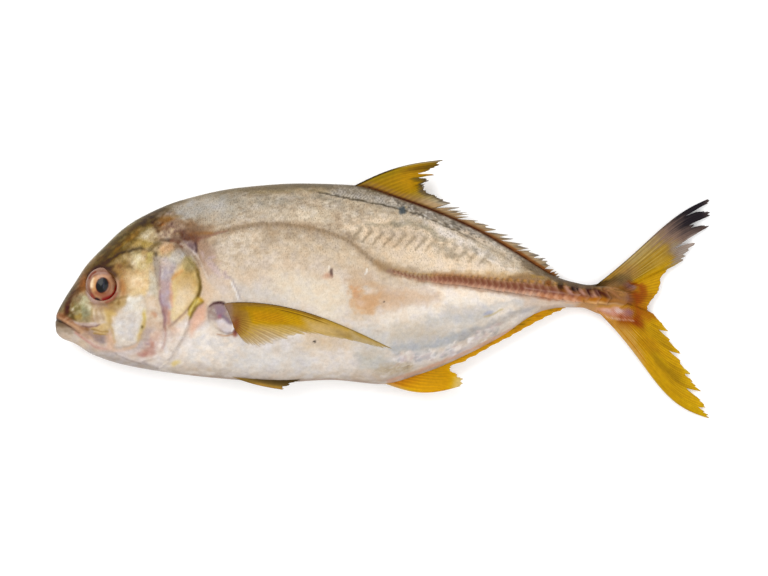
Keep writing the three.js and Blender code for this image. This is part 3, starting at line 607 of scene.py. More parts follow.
def paint_keel(p):
    """The reddish band of the scutes and the slim root of the tail: on skin and scutes alike."""
    p.band("#a08462", 0.75, (2, 3.2), along_line(0.8, 196, 244, 12), ragged=0.9)
    p.band("#8d6a58", 0.7, (1.2, 2.4), along_line(-0.3, 203, 252, 12), ragged=0.7)
    p.band("#b8935f", 0.6, (1.6, 2.6), [
        (228, 9.4), (250, 9.6), (266, 9.2), (280, 9.2), (294, 9.4)], ragged=1)
    p.area("#8c6c46", 0.75, 1.8, [
        (276, 8.6), (288, 11), (300, 9.6), (308, 6.4), (300, 3.4), (286, 5), (274, 5.6)], ragged=0.8)
    p.band("#a0705a", 0.85, (3.4, 4.8), along_line(0, 232, 322, 20), soft=0.75, ragged=0.7)
    p.band("#80533f", 0.85, (1.6, 2.2), along_line(0.8, 236, 326, 20), ragged=0.5)
    p.area("#f4e6d6", 0.8, 1.1, [
        (226, 2.6), (240, 1), (256, -0.4), (270, -2.4), (282, -4.6), (276, -7), (256, -5), (236, -3)],
        ragged=0.7)
    p.area("#695842", 0.75, 1.4, [
        (284, 20), (300, 12.4), (316, 6.6), (327, 4.4), (338, 5.6), (352, 14), (352, 5), (344, 2.2),
        (330, 1.6), (320, 2.8), (304, 6.6), (292, 11), (284, 16.4)], ragged=0.7)
    p.area("#5c4a28", 0.2, 0.8, [
        (284, 19), (300, 11.8), (314, 6.6), (326, 4.6), (326, 2.6), (312, 3.6), (298, 7.6), (284, 12.6)],
        flecks=(1.5, 47, 0.0), ragged=0.8)
    p.area("#4e3a18", 0.8, 0.9, [(298, 13.4), (312, 8), (326, 4.8), (326, 2.8), (312, 4.4), (298, 9.6)])
    p.area("#5f5040", 0.8, 1.5, [(318, 4), (330, 3), (346, 3.6), (346, 7), (330, 5)])
    for x, y in ((292, 9), (297, 8), (302, 7), (306.4, 5.4), (311.6, 4.4), (316.4, 3.8)):
        p.blot("#a07f40", 0.7, x, y, 1.8, 1.1, turn=-14, soft=0.7, ragged=0.6)
    # below the keel: peach, then a greyer edge
    p.area("#dcc3ad", 0.6, 1.4, [
        (286, -3), (300, -5), (316, -6), (330, -7), (340, -8.6), (334, -11.4), (318, -9.6), (302, -10),
        (286, -10)], ragged=0.6)
    p.area("#c0a998", 0.8, 0.8, [
        (296, -9.4), (310, -9), (322, -9), (334, -11), (334, -15), (320, -10.8), (306, -11), (296, -12.6)],
        ragged=0.4)
    p.area("#4c3608", 0.75, 1.6, [(304, 9), (314, 8), (322, 5), (320, 3), (308, 5)], ragged=0.6)
    p.area("#7f4c26", 0.8, 2.2, [
        (308, 3.4), (322, 1.4), (350, 1), (350, -6), (330, -4.4), (310, -2)], ragged=0.6)
    p.area("#b07350", 0.85, 1.2, [
        (296, -1.6), (312, -2.6), (326, -4.4), (332, -6), (320, -7), (304, -6), (292, -4)])
    # each scute's marks: a gold and brown tip above, a dark wedge, a peach end below
    x = 206.0
    while x < 328:
        gap, wide = float(stepped(SCUTE_GAP, x)), float(stepped(SCUTE_HALF_WIDTH, x))
        y = float(lateral_line(x))
        far = smooth(236, 300, x)
        p.band("#7a5a34", 0.6 + 0.2 * far, 0.13 * gap, [
            (x, y + 0.25 * wide), (x + 0.3 * gap, y + 1.1 * wide)])
        p.blot("#bb8438", 0.35 + 0.45 * far, x + 0.62 * gap, y + 0.95 * wide, 0.24 * gap, 0.25 * wide,
               soft=0.8, ragged=0.4)
        p.band("#74443c", 0.45 + 0.25 * far, 0.15 * gap, [
            (x + 0.1, y + 0.5 * wide), (x + 0.35 * gap, y - 0.3 * wide)])
        p.blot("#dda786", 0.35 + 0.4 * far, x + 0.55 * gap, y - 0.75 * wide, 0.22 * gap, 0.3 * wide,
               soft=0.8, ragged=0.4)
        x += gap
    for x, y, across, high, turn, hue in (
            (301, 4.6, 1.9, 2.1, 0, "#7c4a1a"), (308.4, 2.8, 2.3, 2.7, 15, "#43300f"),
            (317, 1.5, 2.7, 2.6, 0, "#2c1c0a"), (325.4, -0.2, 2.3, 3, 25, "#432409"),
            (331.6, -1.8, 1.9, 3.5, 38, "#4b290b"), (337.6, -2, 1.8, 3.6, 50, "#54300c"),
            (341.6, -4.6, 2.6, 1.1, -35, "#7c4a18")):
        p.blot(hue, 0.97, x, y, across, high, turn=turn, soft=0.4, ragged=0.35, relief=-0.15)
    for x, y in ((312.4, 0.4), (320.8, -0.8), (328.2, -2.4), (334.4, -2.8)):
        p.band("#c49a8c", 0.75, 0.8, [(x - 0.8, y + 1.8), (x + 0.4, y - 0.6), (x + 2.4, y - 1.6)], soft=0.8)
    p.band("#bfa29c", 0.4, 0.4, along_line(0, 286, 320, 8), ragged=0.4, relief=0.2)
    p.band("#a2663a", 0.8, (0.8, 1.2), [(318, -4.6), (324, -5), (332, -5), (342, -6)], soft=0.8, ragged=0.5)
    p.band("#e0b898", 0.7, (0.8, 0.5), [
        (312, -7.6), (322, -7.8), (332, -8.4), (342, -9.4)], soft=0.8, ragged=0.4)
    p.band("#a9702e", 0.6, 1, [(322, -5.6), (332, -5.8), (344, -6.6)], ragged=0.5)


def paint_crown(p):
    """The top of the head, from the snout over the eye to the nape."""
    p.area("#6f624a", 0.8, 2, [
        (2, -13), (8, -2), (15, 9), (22, 18), (24, 14), (18, 10), (13, 2), (9, -4), (6, -12)])
    p.area("#56381f", 0.75, 1.6, [(5, -15), (7, -8), (11, 0), (13, 1), (11.4, -5), (9.6, -12), (9, -17)])
    p.blot("#59301c", 0.8, 8, -10.6, 1.5, 4, turn=-18, soft=0.7)
    p.blot("#5c4826", 0.7, 10, -16, 2.4, 1.6, turn=-30, soft=0.8)
    p.area("#63593c", 0.85, 2.4, [
        (22, 18), (30, 27), (41, 37), (52, 44.4), (62, 49), (61, 44), (52, 39), (42, 31), (32, 21),
        (24, 13)])
    p.band("#8a8468", 0.75, (0.9, 1.5), [(20, 16.4), (30, 26.6), (41, 37), (52, 44.2), (62, 49)], soft=0.8)
    p.band("#54421c", 0.5, (1.4, 1.9), [
        (20, 12.6), (27, 17), (33, 21.6), (40, 27.6), (47, 33), (54, 38.6)], ragged=0.8)
    p.area("#8f7a44", 0.85, 2, [
        (36, 22), (42, 26), (50, 33), (57, 41), (60, 40), (61, 33), (56, 29), (48, 26), (40, 22)], ragged=1)
    p.area("#6b5a34", 0.6, 1, [
        (36, 22), (46, 30), (58, 41), (60, 38), (52, 30), (40, 22)], flecks=(2.2, 61, 0.1), ragged=1)
    p.band("#b68f3e", 0.8, (0.7, 1.3), [(37.6, 24.6), (42.4, 28.8), (47.6, 33)], soft=0.8, ragged=0.7)
    p.band("#a17a34", 0.6, 0.7, [(31, 17.4), (36, 20.6), (41, 24)], ragged=0.6)
    p.area("#b7a062", 0.85, 1.4, [
        (46, 26.4), (52, 31), (58, 30), (62, 27.6), (57, 25.6), (50, 25.4)], ragged=0.9)
    p.area("#93803a", 0.6, 0.8, [
        (48, 26), (54, 30.6), (62, 28.6), (63, 25), (57, 25.6)], flecks=(1.3, 62, 0.0), ragged=0.6)
    p.area("#cdbf9e", 0.9, 1.8, [
        (51, 32), (56, 37), (60.6, 36.4), (62.4, 32), (60, 29.4), (54, 29.6)], ragged=1, relief=0.2)
    # the white flecks on the cream patch are painted glints
    p.area("#efe6cf", 0.7, 0.8, [
        (52, 31), (56, 36.4), (61, 35.4), (61, 30), (55, 29.6)], flecks=(1.3, 63, 0.15))
    p.area("#7d6c48", 0.75, 1.2, [
        (56, 24.6), (62, 30), (66, 30.6), (66, 26), (61, 22)], flecks=(1.6, 64, -0.35), ragged=1.2)
    # the groove over the eye
    p.band("#4c3c22", 0.7, (1.7, 0.9), [(20, 12), (26, 14.6), (33, 17.8), (39, 21.4)])
    # a soft painted shadow along the groove
    p.band("#5b4a26", 0.6, (1.6, 1.2), [(36, 19.6), (42, 23.4), (48, 24.6), (53, 25.4)], soft=1, ragged=0.6)
    p.band("#2f2412", 0.85, 0.5, [
        (33, 18.4), (39.5, 22), (42, 23.2), (45, 23.3), (48, 24.4), (52, 25.5), (54, 25)], relief=-0.2)
    p.band("#4b3d24", 0.7, 0.5, [(55, 24.8), (58, 23.6), (61, 24.6)], ragged=0.5, relief=-0.2)
    p.area("#33291a", 0.85, 1.1, [
        (21, 11), (27, 13.4), (33, 15.4), (37, 15), (36, 12.6), (30, 12.4), (24, 11.4)])
    # a painted highlight on the brow over the eye
    p.blot("#d8cfc2", 0.6, 27.8, 12.9, 0.8, 0.5, soft=0.9)
    # the plates behind the eye
    p.area("#d3c394", 0.9, 1.6, [
        (38, 19), (45, 22.4), (56, 24), (60, 22), (59, 14), (54, 11), (45, 11), (39, 14)], ragged=0.9)
    p.area("#ece2c4", 0.7, 1, [
        (45, 14), (45, 19), (52, 22), (56, 22), (56, 15), (50, 12)], flecks=(2, 65, -0.1), ragged=0.6)
    p.area("#9a8a50", 0.75, 0.7, [
        (40, 14), (40, 20), (45, 21), (48, 18), (46, 14)], flecks=(2.2, 66, 0.05), ragged=0.6, relief=-0.2)
    p.blot("#8a7a3e", 0.8, 43.2, 17.4, 1.5, 1.8, ragged=0.6, relief=-0.3)
    p.blot("#6f4f2c", 0.75, 39.8, 14.6, 1.5, 0.9, ragged=0.7)
    p.blot("#8c8767", 0.75, 46.2, 14.8, 2.4, 1, turn=-35, ragged=0.7)
    p.band("#f3ead4", 0.8, 0.6, [(46, 18.6), (47.6, 16.8), (49.6, 15.4)], soft=0.6, ragged=0.4)
    p.band("#8f8059", 0.7, 0.5, [(45, 21.8), (49, 22.6), (53, 23.8)], soft=0.6, ragged=0.5)
    p.area("#bfae6c", 0.8, 1, [(56, 23), (60.6, 22), (60.4, 17), (57, 16)], ragged=0.7)
    p.blot("#3f392c", 0.7, 62.4, 21.6, 1.4, 1, turn=-60, ragged=0.6)
    p.area("#e5ca98", 0.85, 2.4, [
        (41, 11), (50, 12), (58, 12), (59, 4), (57, -3), (46, -3), (41, 0)], ragged=0.7)
    p.blot("#f1dec0", 0.8, 51.6, 4.6, 5, 3.4, turn=-15, soft=0.8, ragged=1)
    p.area("#cda676", 0.5, 0.8, [(42, 12), (58, 12), (58, 5), (44, -2)], flecks=(1.5, 67, 0.25))
    p.blot("#d59a62", 0.85, 41.4, 2, 2.1, 5.6, turn=6, soft=0.8)
    p.blot("#c9a24e", 0.6, 38.6, 11, 3.4, 1.8, turn=-35, soft=0.8)
    p.blot("#cb8d58", 0.85, 17.8, 5, 2.6, 5, turn=-8, soft=0.8)
    # browner towards the snout and the brow
    p.area("#3a2800", 0.26, 4, [
        (18, 10), (28, 24), (42, 38), (56, 47), (70, 53), (72, 47), (62, 41), (54, 34), (44, 26), (36, 15),
        (24, 9)], ragged=1)
    p.area("#d8bc98", 0.4, 2.4, [(24, -10), (34, -9), (36, -15), (28, -17)], ragged=1)
    p.area("#6a5010", 0.3, 3, [
        (20, 10), (30, 26), (44, 39), (56, 46), (57, 42), (52, 36), (40, 21), (34, 13), (22, 9)], ragged=1)
    p.area("#a07c44", 0.6, 1.6, [(46, 34), (51, 38.6), (54, 37), (51, 33.4), (47, 31)], ragged=1)
    p.area("#4a2a12", 0.6, 2, [(5, -14), (12, 1), (22, 14), (24, 8), (18, 0), (13, -3), (10, -14)])
    p.area("#7d5228", 0.3, 3, [(34, 14), (46, 20), (52, 12), (46, 0), (40, -5), (40, 8)], ragged=1)
    p.area("#8a6c40", 0.35, 2, [(36, 20), (46, 24), (50, 19), (44, 13), (38, 12)], ragged=0.8)
    p.area("#6f5038", 0.6, 2, [(12, -3), (15, 4), (18, 8), (17, 1), (14, -4)])
    # a whitish fold of the cheek margin
    p.area("#d3ccba", 0.8, 1, [(58.4, 13), (61.4, 10), (63, 2), (63.6, -3), (60, -8), (58, -3)])
    p.area("#a99e94", 0.85, 0.9, [
        (60.4, 21), (66, 20.6), (66.4, 15), (64.6, 7), (63.4, 0), (62.2, 6), (61, 13)])
    p.area("#c5b9b6", 0.6, 0.8, [
        (63, 20), (66, 19), (65.6, 12), (63.6, 13)], flecks=(1.3, 68, 0), ragged=0.4)


def paint_cheek(p):
    """Below the eye: the cheek bones, the pale cheek, the jaws and the throat."""
    p.area("#a39a72", 0.9, 1.2, [
        (9.6, -9), (13, -4), (17.6, -2.4), (21, -6), (23.4, -10), (23, -19), (16, -19.6), (9, -16)],
        ragged=0.7, relief=0.25)
    p.area("#ccc8aa", 0.9, 1, [
        (12.6, -5.6), (16.6, -2.6), (19.8, -4.4), (22.6, -9), (21.6, -11.6), (18.6, -8), (15.6, -8)],
        ragged=0.6)
    p.area("#b4b390", 0.75, 0.7, [(15, -4.4), (18.6, -5), (19, -11), (16.4, -11)])
    p.blot("#8a6a3e", 0.7, 11.6, -8.6, 0.9, 1.6, ragged=0.4)
    # painted glints on the cheek bone, this one and the next
    p.blot("#efece0", 0.9, 11.6, -11.6, 0.9, 0.9, ragged=0.4)
    p.blot("#e2dcc4", 0.8, 21.6, -9.4, 1.2, 1.9, turn=20)
    p.area("#98977a", 0.8, 0.9, [
        (16.4, -10.6), (20, -11), (21.6, -15), (20.6, -19), (17, -18.6)], ragged=0.6)
    p.area("#a98f4c", 0.7, 1, [
        (12, -14.6), (16.4, -13), (17.4, -18.4), (13, -18.6)], flecks=(1.6, 71, -0.3), ragged=0.7)
    p.area("#5c5226", 0.4, 0.6, [(12.6, -8), (16, -9), (15.4, -14.6), (12.4, -13)], flecks=(1.4, 72, 0.1))
    p.area("#5a4826", 0.75, 0.8, [(8, -13.6), (11.4, -13), (13.4, -17.4), (10, -18)], ragged=0.6)
    p.area("#d8c4a6", 0.9, 1, [
        (22.6, -10.6), (27, -11.6), (31.6, -11), (32.6, -19), (28, -19.8), (23, -18.6)])
    for i in range(5):
        line = [(24 + 1.6 * i, -11.6), (24.6 + 1.9 * i, -18.6)]
        p.band(("#e9dac4", "#b79a70")[i % 2], 0.6, 0.4, line, soft=0.6, ragged=0.5)
    p.band("#98804a", 0.7, 0.45, [(23.4, -11), (23.2, -15), (24, -19)], soft=0.6, ragged=0.4, relief=-0.2)
    p.area("#bba69c", 0.85, 1.3, [
        (20, -2), (22.6, -6.6), (27, -10.6), (33, -10), (34, -7.6), (28, -7), (24, -4), (21, 0)])
    p.band("#d9c8c2", 0.8, 0.9, [(20.4, -1.6), (22, -4.4), (24.8, -7.4)], soft=0.8, relief=0.4)
    p.area("#d2b572", 0.8, 2, [
        (30.6, -10.6), (36, -11), (38, -14.6), (35, -17), (34.6, -22), (33, -24), (31.6, -18)], ragged=0.6)
    # olive-gold skin under the eye, with painted shade over it that is darkest along its top
    p.area("#b3945a", 0.7, 2.2, [
        (33, -7.6), (38, -5.4), (44, -4.6), (43, -8.6), (38, -11.4), (34, -11)], ragged=0.9)
    p.area("#7a6134", 0.4, 1.2, [
        (33, -7.6), (38, -5.4), (44, -4.6), (42, -8), (36, -10.4)], flecks=(1.5, 73, 0.1), ragged=0.6)
    p.band("#7a6434", 0.6, (0.8, 0.4), [(37, -5.6), (41, -4.2), (44.6, -3.4)], relief=-0.2)
    # the pale cheek in its yellow rim
    p.area("#ddd6cd", 0.95, 2.2, [
        (36.4, -17), (41, -13.6), (44.4, -8), (47, -4), (54, -3.6), (56, -8), (54, -17), (53, -26),
        (49, -32), (41, -35), (37.6, -33), (37, -27), (35.4, -22)], ragged=0.6, relief=0.3)
    p.area("#e9e4d8", 0.75, 1.6, [(44, -9), (46, -4.4), (53, -4.6), (54, -12), (48, -14)], ragged=0.7)
    # a painted highlight on the pale cheek
    p.blot("#f3f0e6", 0.85, 46, -5.2, 2, 0.9, turn=25)
    p.area("#cfc9c6", 0.5, 1, [
        (38, -17), (52, -12), (52, -28), (41, -34), (37, -25)], flecks=(2.6, 74, 0.1), ragged=0.6)
    p.area("#ece6de", 0.55, 1, [
        (38, -17), (52, -12), (52, -28), (41, -34), (37, -25)], flecks=(1.7, 75, 0.2), ragged=0.6)
    p.blot("#c2c0c4", 0.5, 46, -22, 5, 6, soft=0.9, ragged=1.5)
    p.band("#bfa268", 0.6, (1.2, 0.8), [
        (33.6, -15), (34.4, -21), (36.4, -27), (36.4, -31)], soft=0.8, ragged=0.5)
    p.band("#ddcd94", 0.7, (1.2, 2.2), [(55, -12), (55.2, -18), (54.2, -23), (52, -30)], ragged=0.5)
    p.band("#cdb45c", 0.75, (0.7, 1.2), [(54.6, -14), (55.4, -18.6), (54.6, -23), (53, -27)], relief=0.1)
    p.band("#c9a566", 0.7, (1.2, 0.9), [(53.4, -26), (52, -29.4), (50.6, -32)])
    # a thin painted shadow above the cheek's lower rim
    p.band("#a89c92", 0.6, 0.45, [(37.4, -34.6), (42, -34.8), (47, -33), (50, -31.4)], soft=0.6, ragged=0.5)
    p.band("#dcb494", 0.75, (0.9, 1.1), [(50.6, -32.6), (46, -35), (41, -36.4), (36, -36.4)], soft=0.8)
    p.area("#dccbb8", 0.85, 1.5, [
        (56.6, 0), (62, -4), (65, -10), (66, -22), (60, -22), (57, -24), (56.6, -12)], ragged=0.6)
    p.blot("#c6967a", 0.7, 61.4, -14, 1.2, 1.7, turn=30, ragged=0.7)
    p.area("#e9dfd4", 0.6, 0.8, [(57, -1), (63, -3), (64, -12), (58, -14)], flecks=(1.8, 76, 0.1))
    p.area("#b7aaa8", 0.85, 1.5, [
        (55, -23), (60, -22), (58, -27), (54, -34), (50, -37), (50, -33)], ragged=0.6)
    p.area("#d3b0a4", 0.75, 2.4, [
        (50, -38), (55, -33), (59, -26), (66, -24), (66, -33), (62, -39), (54, -42)], ragged=1)
    p.area("#f3e0d4", 0.75, 1, [
        (57, -28), (60, -24), (66, -24), (66, -33), (62, -37)], flecks=(1.4, 77, 0.05))
    # mouth
    p.area("#c6b3a2", 0.95, 1.6, [
        (0, -19), (10, -24), (20, -30), (30, -36), (26, -38.6), (18, -36.8), (8, -32), (0, -27)])
    p.area("#d8c6b0", 0.7, 2, [(7, -27.4), (14, -28.4), (22, -33), (18, -35), (12, -32)])
    p.area("#a08d78", 0.85, 1.6, [
        # painted shade under the slit of the mouth, darkest next to it
        (-0.5, -18.2), (5, -19.6), (14, -24.4), (10, -26.4), (4, -26), (-1, -25.6)])
    p.area("#6f5c46", 0.8, 1.2, [(-0.5, -18.2), (4, -19.4), (9, -22.6), (5, -22.8), (-1, -22.2)])
    p.area("#c08d68", 0.95, 1, [
        (0.4, -13.8), (4, -14.6), (9, -17.6), (15, -21.8), (21, -25.6), (17, -26.6), (11, -23), (5, -19.4),
        (0, -17.2)], relief=0.3)
    p.area("#c9a68c", 0.85, 1.6, [
        (14, -22.4), (22, -25.6), (27, -29.6), (30, -33.6), (26, -33), (19, -28.4)])
    p.area("#74482c", 0.7, 1.6, [(1, -14.4), (6, -15), (11, -18.4), (10, -20.4), (5, -18.6), (1, -17)])
    p.blot("#86664a", 0.5, 20, -23.6, 3, 1.6, turn=-30, soft=0.8)
    p.blot("#ab9078", 0.6, 26, -17.4, 3, 2.2, soft=0.8, ragged=0.6)
    p.band("#96603c", 0.5, 0.7, [(3, -14.6), (9, -17.4), (14, -20.8), (18, -23.4)], soft=1)
    p.band("#d9b08a", 0.7, (0.5, 0.8), [(1.6, -16), (6, -18), (12, -21.6), (17, -25)])
    p.area("#9c8886", 0.85, 1.2, [
        (21.6, -26.2), (27, -26.4), (32.6, -27), (32.4, -31.4), (28, -32.4), (24.6, -30)])
    p.blot("#968684", 0.7, 28.8, -30, 2.4, 1.5, turn=-20, ragged=0.6)
    p.band("#cda396", 0.75, (0.9, 1.5), [
        (13, -25.4), (19, -29.6), (24, -33.4), (29, -35.2), (33, -35)], soft=0.8, relief=0.25)
    p.band("#c98f84", 0.6, 0.5, [(13, -26), (20, -31), (25, -34.2), (31, -35.6)], soft=1, relief=-0.1)
    p.area("#dcb292", 0.75, 1.8, [(31.6, -25.6), (34.6, -26), (37, -32), (37, -36.6), (32, -35.6)])
    p.area("#cbbfc3", 0.95, 0.5, [
        (10.6, -17.8), (16, -19.8), (20, -19.6), (26, -19.6), (26.6, -21.2), (20, -22), (14.6, -21.2)],
        ragged=0.3)
    p.area("#ebe5e4", 0.7, 0.4, [
        (17.6, -20), (25.4, -19.8), (25, -21.2), (19, -21.4)], flecks=(1.4, 78, -0.1))
    p.band("#74585e", 0.8, 0.45, [
        (17, -21.8), (21, -22.5), (25, -22.2), (27.6, -20.9)], soft=0.6, relief=-0.2)
    p.blot("#93643c", 0.8, 19.8, -23.4, 1.8, 0.7, turn=-30)
    p.area("#dec48c", 0.95, 0.5, [
        (21.6, -23), (26, -22.2), (28.6, -20.4), (32.6, -20.2), (33, -25.4), (28.6, -26.8), (24, -25)],
        ragged=0.3, relief=0.2)
    p.band("#9a7a3a", 0.8, 0.4, [
        (22.6, -23.8), (26, -24.4), (29.4, -25.2), (33, -25)], soft=0.6, relief=-0.2)
    p.band("#b18e3a", 0.8, 0.4, [(24, -25.8), (28, -26.8), (32, -26.8)], soft=0.6)
    p.area("#dccac2", 0.4, 3, [(22, -32), (34, -34), (48, -35), (62, -30), (66, -38), (50, -41), (30, -40)])
    # throat
    p.area("#b1a59e", 0.85, 2.2, [
        (14, -35), (26, -38.4), (37, -38.6), (44, -42), (56, -45), (64, -48), (62, -50), (36, -45),
        (18, -39)])
    p.area("#d8c9c0", 0.75, 1.2, [
        (36, -38), (46, -38), (56, -41.6), (62, -45), (50, -43), (40, -41)], ragged=0.7)
    # a darker line along the throat's crease: painted shade
    p.band("#8a7a76", 0.6, 0.4, [
        (36.6, -38), (39, -39.6), (46, -42.6), (52, -44)], soft=0.6, ragged=0.5, relief=-0.2)
    p.band("#93807a", 0.7, 0.35, [
        (53.6, -43.2), (57, -42.6), (60, -41.6)], soft=0.6, ragged=0.4, relief=-0.3)
    p.band("#ece4dc", 0.7, 0.7, [(54, -41.8), (58, -41), (62, -39)], soft=0.6, ragged=0.4, relief=0.2)


def paint_gill_cover(p):
    """The opercle, the lilac fold in front of it and the folds below."""
    p.area("#ccc1c0", 0.95, 1.2, [
        (65.6, 19.4), (69, 20.4), (75, 16), (73, 9), (71, 3), (71.4, -6), (71, -18), (68, -21), (66.6, -14),
        (65, -4), (64.8, 8)], ragged=0.4)
    p.area("#bdaab2", 0.9, 1.4, [
        (65.4, 6), (71, 6), (71, -4), (69.6, -10), (66.4, -10), (65, -3)], ragged=0.4)
    p.area("#ab9fa8", 0.5, 0.9, [(66, 16), (75, 14), (76, 10), (71, 6), (66, 6)], flecks=(1.6, 81, 0.05))
    p.area("#9a8c98", 0.35, 0.7, [(66, 12), (74, 13), (70, 0), (66, 0)], flecks=(1.1, 82, 0.3), ragged=0.4)
    p.area("#b08c8e", 0.85, 1.2, [(66.6, -9), (69.4, -9), (69.4, -20), (67.4, -21)], ragged=0.4)
    p.area("#d39c84", 0.8, 0.9, [(69.4, -11), (71.4, -12), (71.4, -20), (69.4, -21)], ragged=0.4)
    p.area("#cfcbc4", 0.9, 1.6, [
        (70, 19.4), (72.6, 22.6), (77, 25.4), (80.6, 22), (78, 17), (73, 16)], ragged=0.6)
    p.area("#a9a5a0", 0.55, 0.8, [(70, 19), (76, 25), (80, 21), (74, 15)], flecks=(1.6, 83, 0.1), ragged=0.4)
    p.area("#e3cb96", 0.95, 1.4, [
        (73.6, 9), (79, 16), (85, 14), (88.6, 4.6), (87.4, -3), (81.6, -11), (74, -18.6), (71.6, -18),
        (71.8, -6), (72, 3)], ragged=0.4)
    p.area("#ecdcc0", 0.85, 2.4, [(76, 1), (83, 2), (86, -3), (80, -11), (73, -17), (73, -8)])
    p.area("#d2b678", 0.8, 2, [(76, 9.6), (81, 15), (85.6, 13), (87.8, 6), (84, 4), (79, 7)], ragged=0.9)
    p.area("#b4a47a", 0.9, 1.5, [
        (78.6, 16), (79.6, 21), (83.6, 21), (86, 15), (84, 11), (80, 12)], ragged=0.8)
    p.area("#8f8352", 0.4, 0.9, [
        (78, 15), (80, 22), (84.6, 20), (86.4, 12), (82, 9)], flecks=(1.6, 84, 0.05))
    p.area("#bfa566", 0.5, 1, [(84, 10), (87.4, 8), (88.6, 2), (87, -2), (85.4, 3)], ragged=0.6)
    p.band("#d6a56c", 0.75, 0.9, [(72.6, 6.6), (75, 10), (78, 12)], ragged=0.4)
    p.band("#d8a898", 0.7, 0.8, [(71.4, 4), (71.6, -3), (71.8, -9)], ragged=0.4)
    p.area("#e0c088", 0.35, 1.2, [(75, 6), (87, 6), (86, -2), (78, 0)], flecks=(2.2, 85, 0.1), ragged=0.6)
    # its edges
    p.band("#86686e", 0.65, 0.4, [(65, 14.6), (64.8, 9), (64.6, 3)], relief=-0.2)
    p.band("#8c6a76", 0.75, (0.4, 0.6), [
        (64.8, 0), (65, -5), (66.5, -11), (67.5, -17), (67.6, -22)], relief=-0.3)
    p.band("#a06458", 0.75, (0.6, 0.5), [
        (67.8, -22), (68, -27), (67.4, -32), (66, -35)], soft=1, relief=-0.2)
    p.band("#85703a", 0.85, (0.5, 0.9), [
        (85.4, 20), (86.6, 14), (87.8, 9), (89, 5), (88.9, 1), (87.5, -4)], soft=0.8, relief=-0.3)
    # painted shade in the groove just behind the margin
    p.band("#6b5520", 0.75, (0.3, 0.5), [
        (86.6, 16), (88.3, 10), (89.7, 5), (89.6, 1), (88, -4)], ragged=0.2, relief=-0.4)
    p.band("#917262", 0.8, (0.5, 0.4), [
        (87, -4.5), (84, -8.5), (80, -13), (75, -18), (70, -22)], ragged=0.2, relief=-0.3)
    p.band("#e6cdaa", 0.85, (0.9, 0.7), [(83.4, -11.4), (78, -17), (73, -21.6)], soft=0.7, relief=0.2)
    p.area("#dfcfc0", 0.9, 1.2, [
        (70, -23), (76, -19.4), (81.6, -15), (82.6, -20), (79.6, -28), (76, -33), (70, -36), (68.6, -30)],
        ragged=0.4, relief=0.2)
    p.area("#e6b9a4", 0.5, 0.8, [(69, -23), (78, -20), (76, -28), (69, -34)], flecks=(2, 86, 0.1))
    p.band("#efe7df", 0.85, 1.1, [(81.4, -19.4), (80, -24.6), (77.6, -29)], soft=0.7, relief=0.4)
    p.band("#ab978e", 0.8, (0.45, 0.6), [(83, -18.6), (81.8, -24), (79.6, -28), (77.6, -30)], relief=-0.25)
    p.band("#b3a49c", 0.7, 0.45, [(77.6, -30), (77, -33), (74.4, -36.6)], soft=0.6, ragged=0.4, relief=-0.3)
    p.area("#ebe4df", 0.9, 0.8, [
        (65.6, -37), (71, -35.4), (73, -37.6), (70.6, -41), (66.6, -41.6)], relief=0.5)
    p.band("#a39188", 0.75, 0.4, [
        (70.6, -35.4), (73, -37.6), (71, -41), (67, -44.2), (62.6, -47.8)], relief=-0.25)
    p.band("#f2e6d2", 0.85, 0.45, [(63.6, -47), (66, -45.2), (68.4, -43)], soft=0.6, ragged=0.2, relief=0.3)
    p.area("#d9ccc2", 0.8, 1.2, [(55, -43), (62, -40), (67, -42), (63, -46.6)])
    p.area("#ece4de", 0.42, 3, [(66, -26), (74, -22), (82, -19), (84, -30), (78, -42), (68, -47), (60, -43)])
    # the yellow flap at its lower corner, and the raw pink behind it
    p.area("#dfae96", 0.75, 2.2, [
        (84, -14), (88, -9.6), (92, -8), (93.6, -12), (92, -18), (87, -23), (83.4, -28), (82.6, -20)],
        ragged=0.6)
    p.area("#ecc4ae", 0.7, 0.8, [(84, -14), (91, -9), (92, -17), (86, -22)], flecks=(2, 87, 0.1))
    p.band("#c4a0a2", 0.8, 0.6, [(83.6, -14.6), (87, -11), (91, -7.6)], soft=0.8)
    p.area("#cbb257", 0.95, 0.6, [
        (85.6, -5), (87, -3.8), (89.4, -4.4), (91.6, -6.2), (88.6, -7.6), (85.8, -11), (83, -15.6),
        (81.4, -14.4), (82.8, -10)], ragged=0.3, relief=0.6)
    p.blot("#be9430", 0.85, 89.6, -5.7, 1.7, 0.8, turn=-35, soft=0.6, ragged=0.2)
    # a painted highlight along the flap
    p.band("#e7d898", 0.8, 0.5, [(88, -6), (85.4, -8.8), (83.6, -12)], soft=0.6, ragged=0.2, relief=0.2)
    p.band("#77642a", 0.8, 0.35, [
        (87, -3.6), (83.4, -8.6), (81.6, -12.4)], soft=0.6, ragged=0.2, relief=-0.3)
    p.band("#8a743c", 0.85, 0.5, [(91.2, -6.8), (88, -8.8), (85, -12.6), (82.8, -17)], soft=0.6, relief=-0.4)


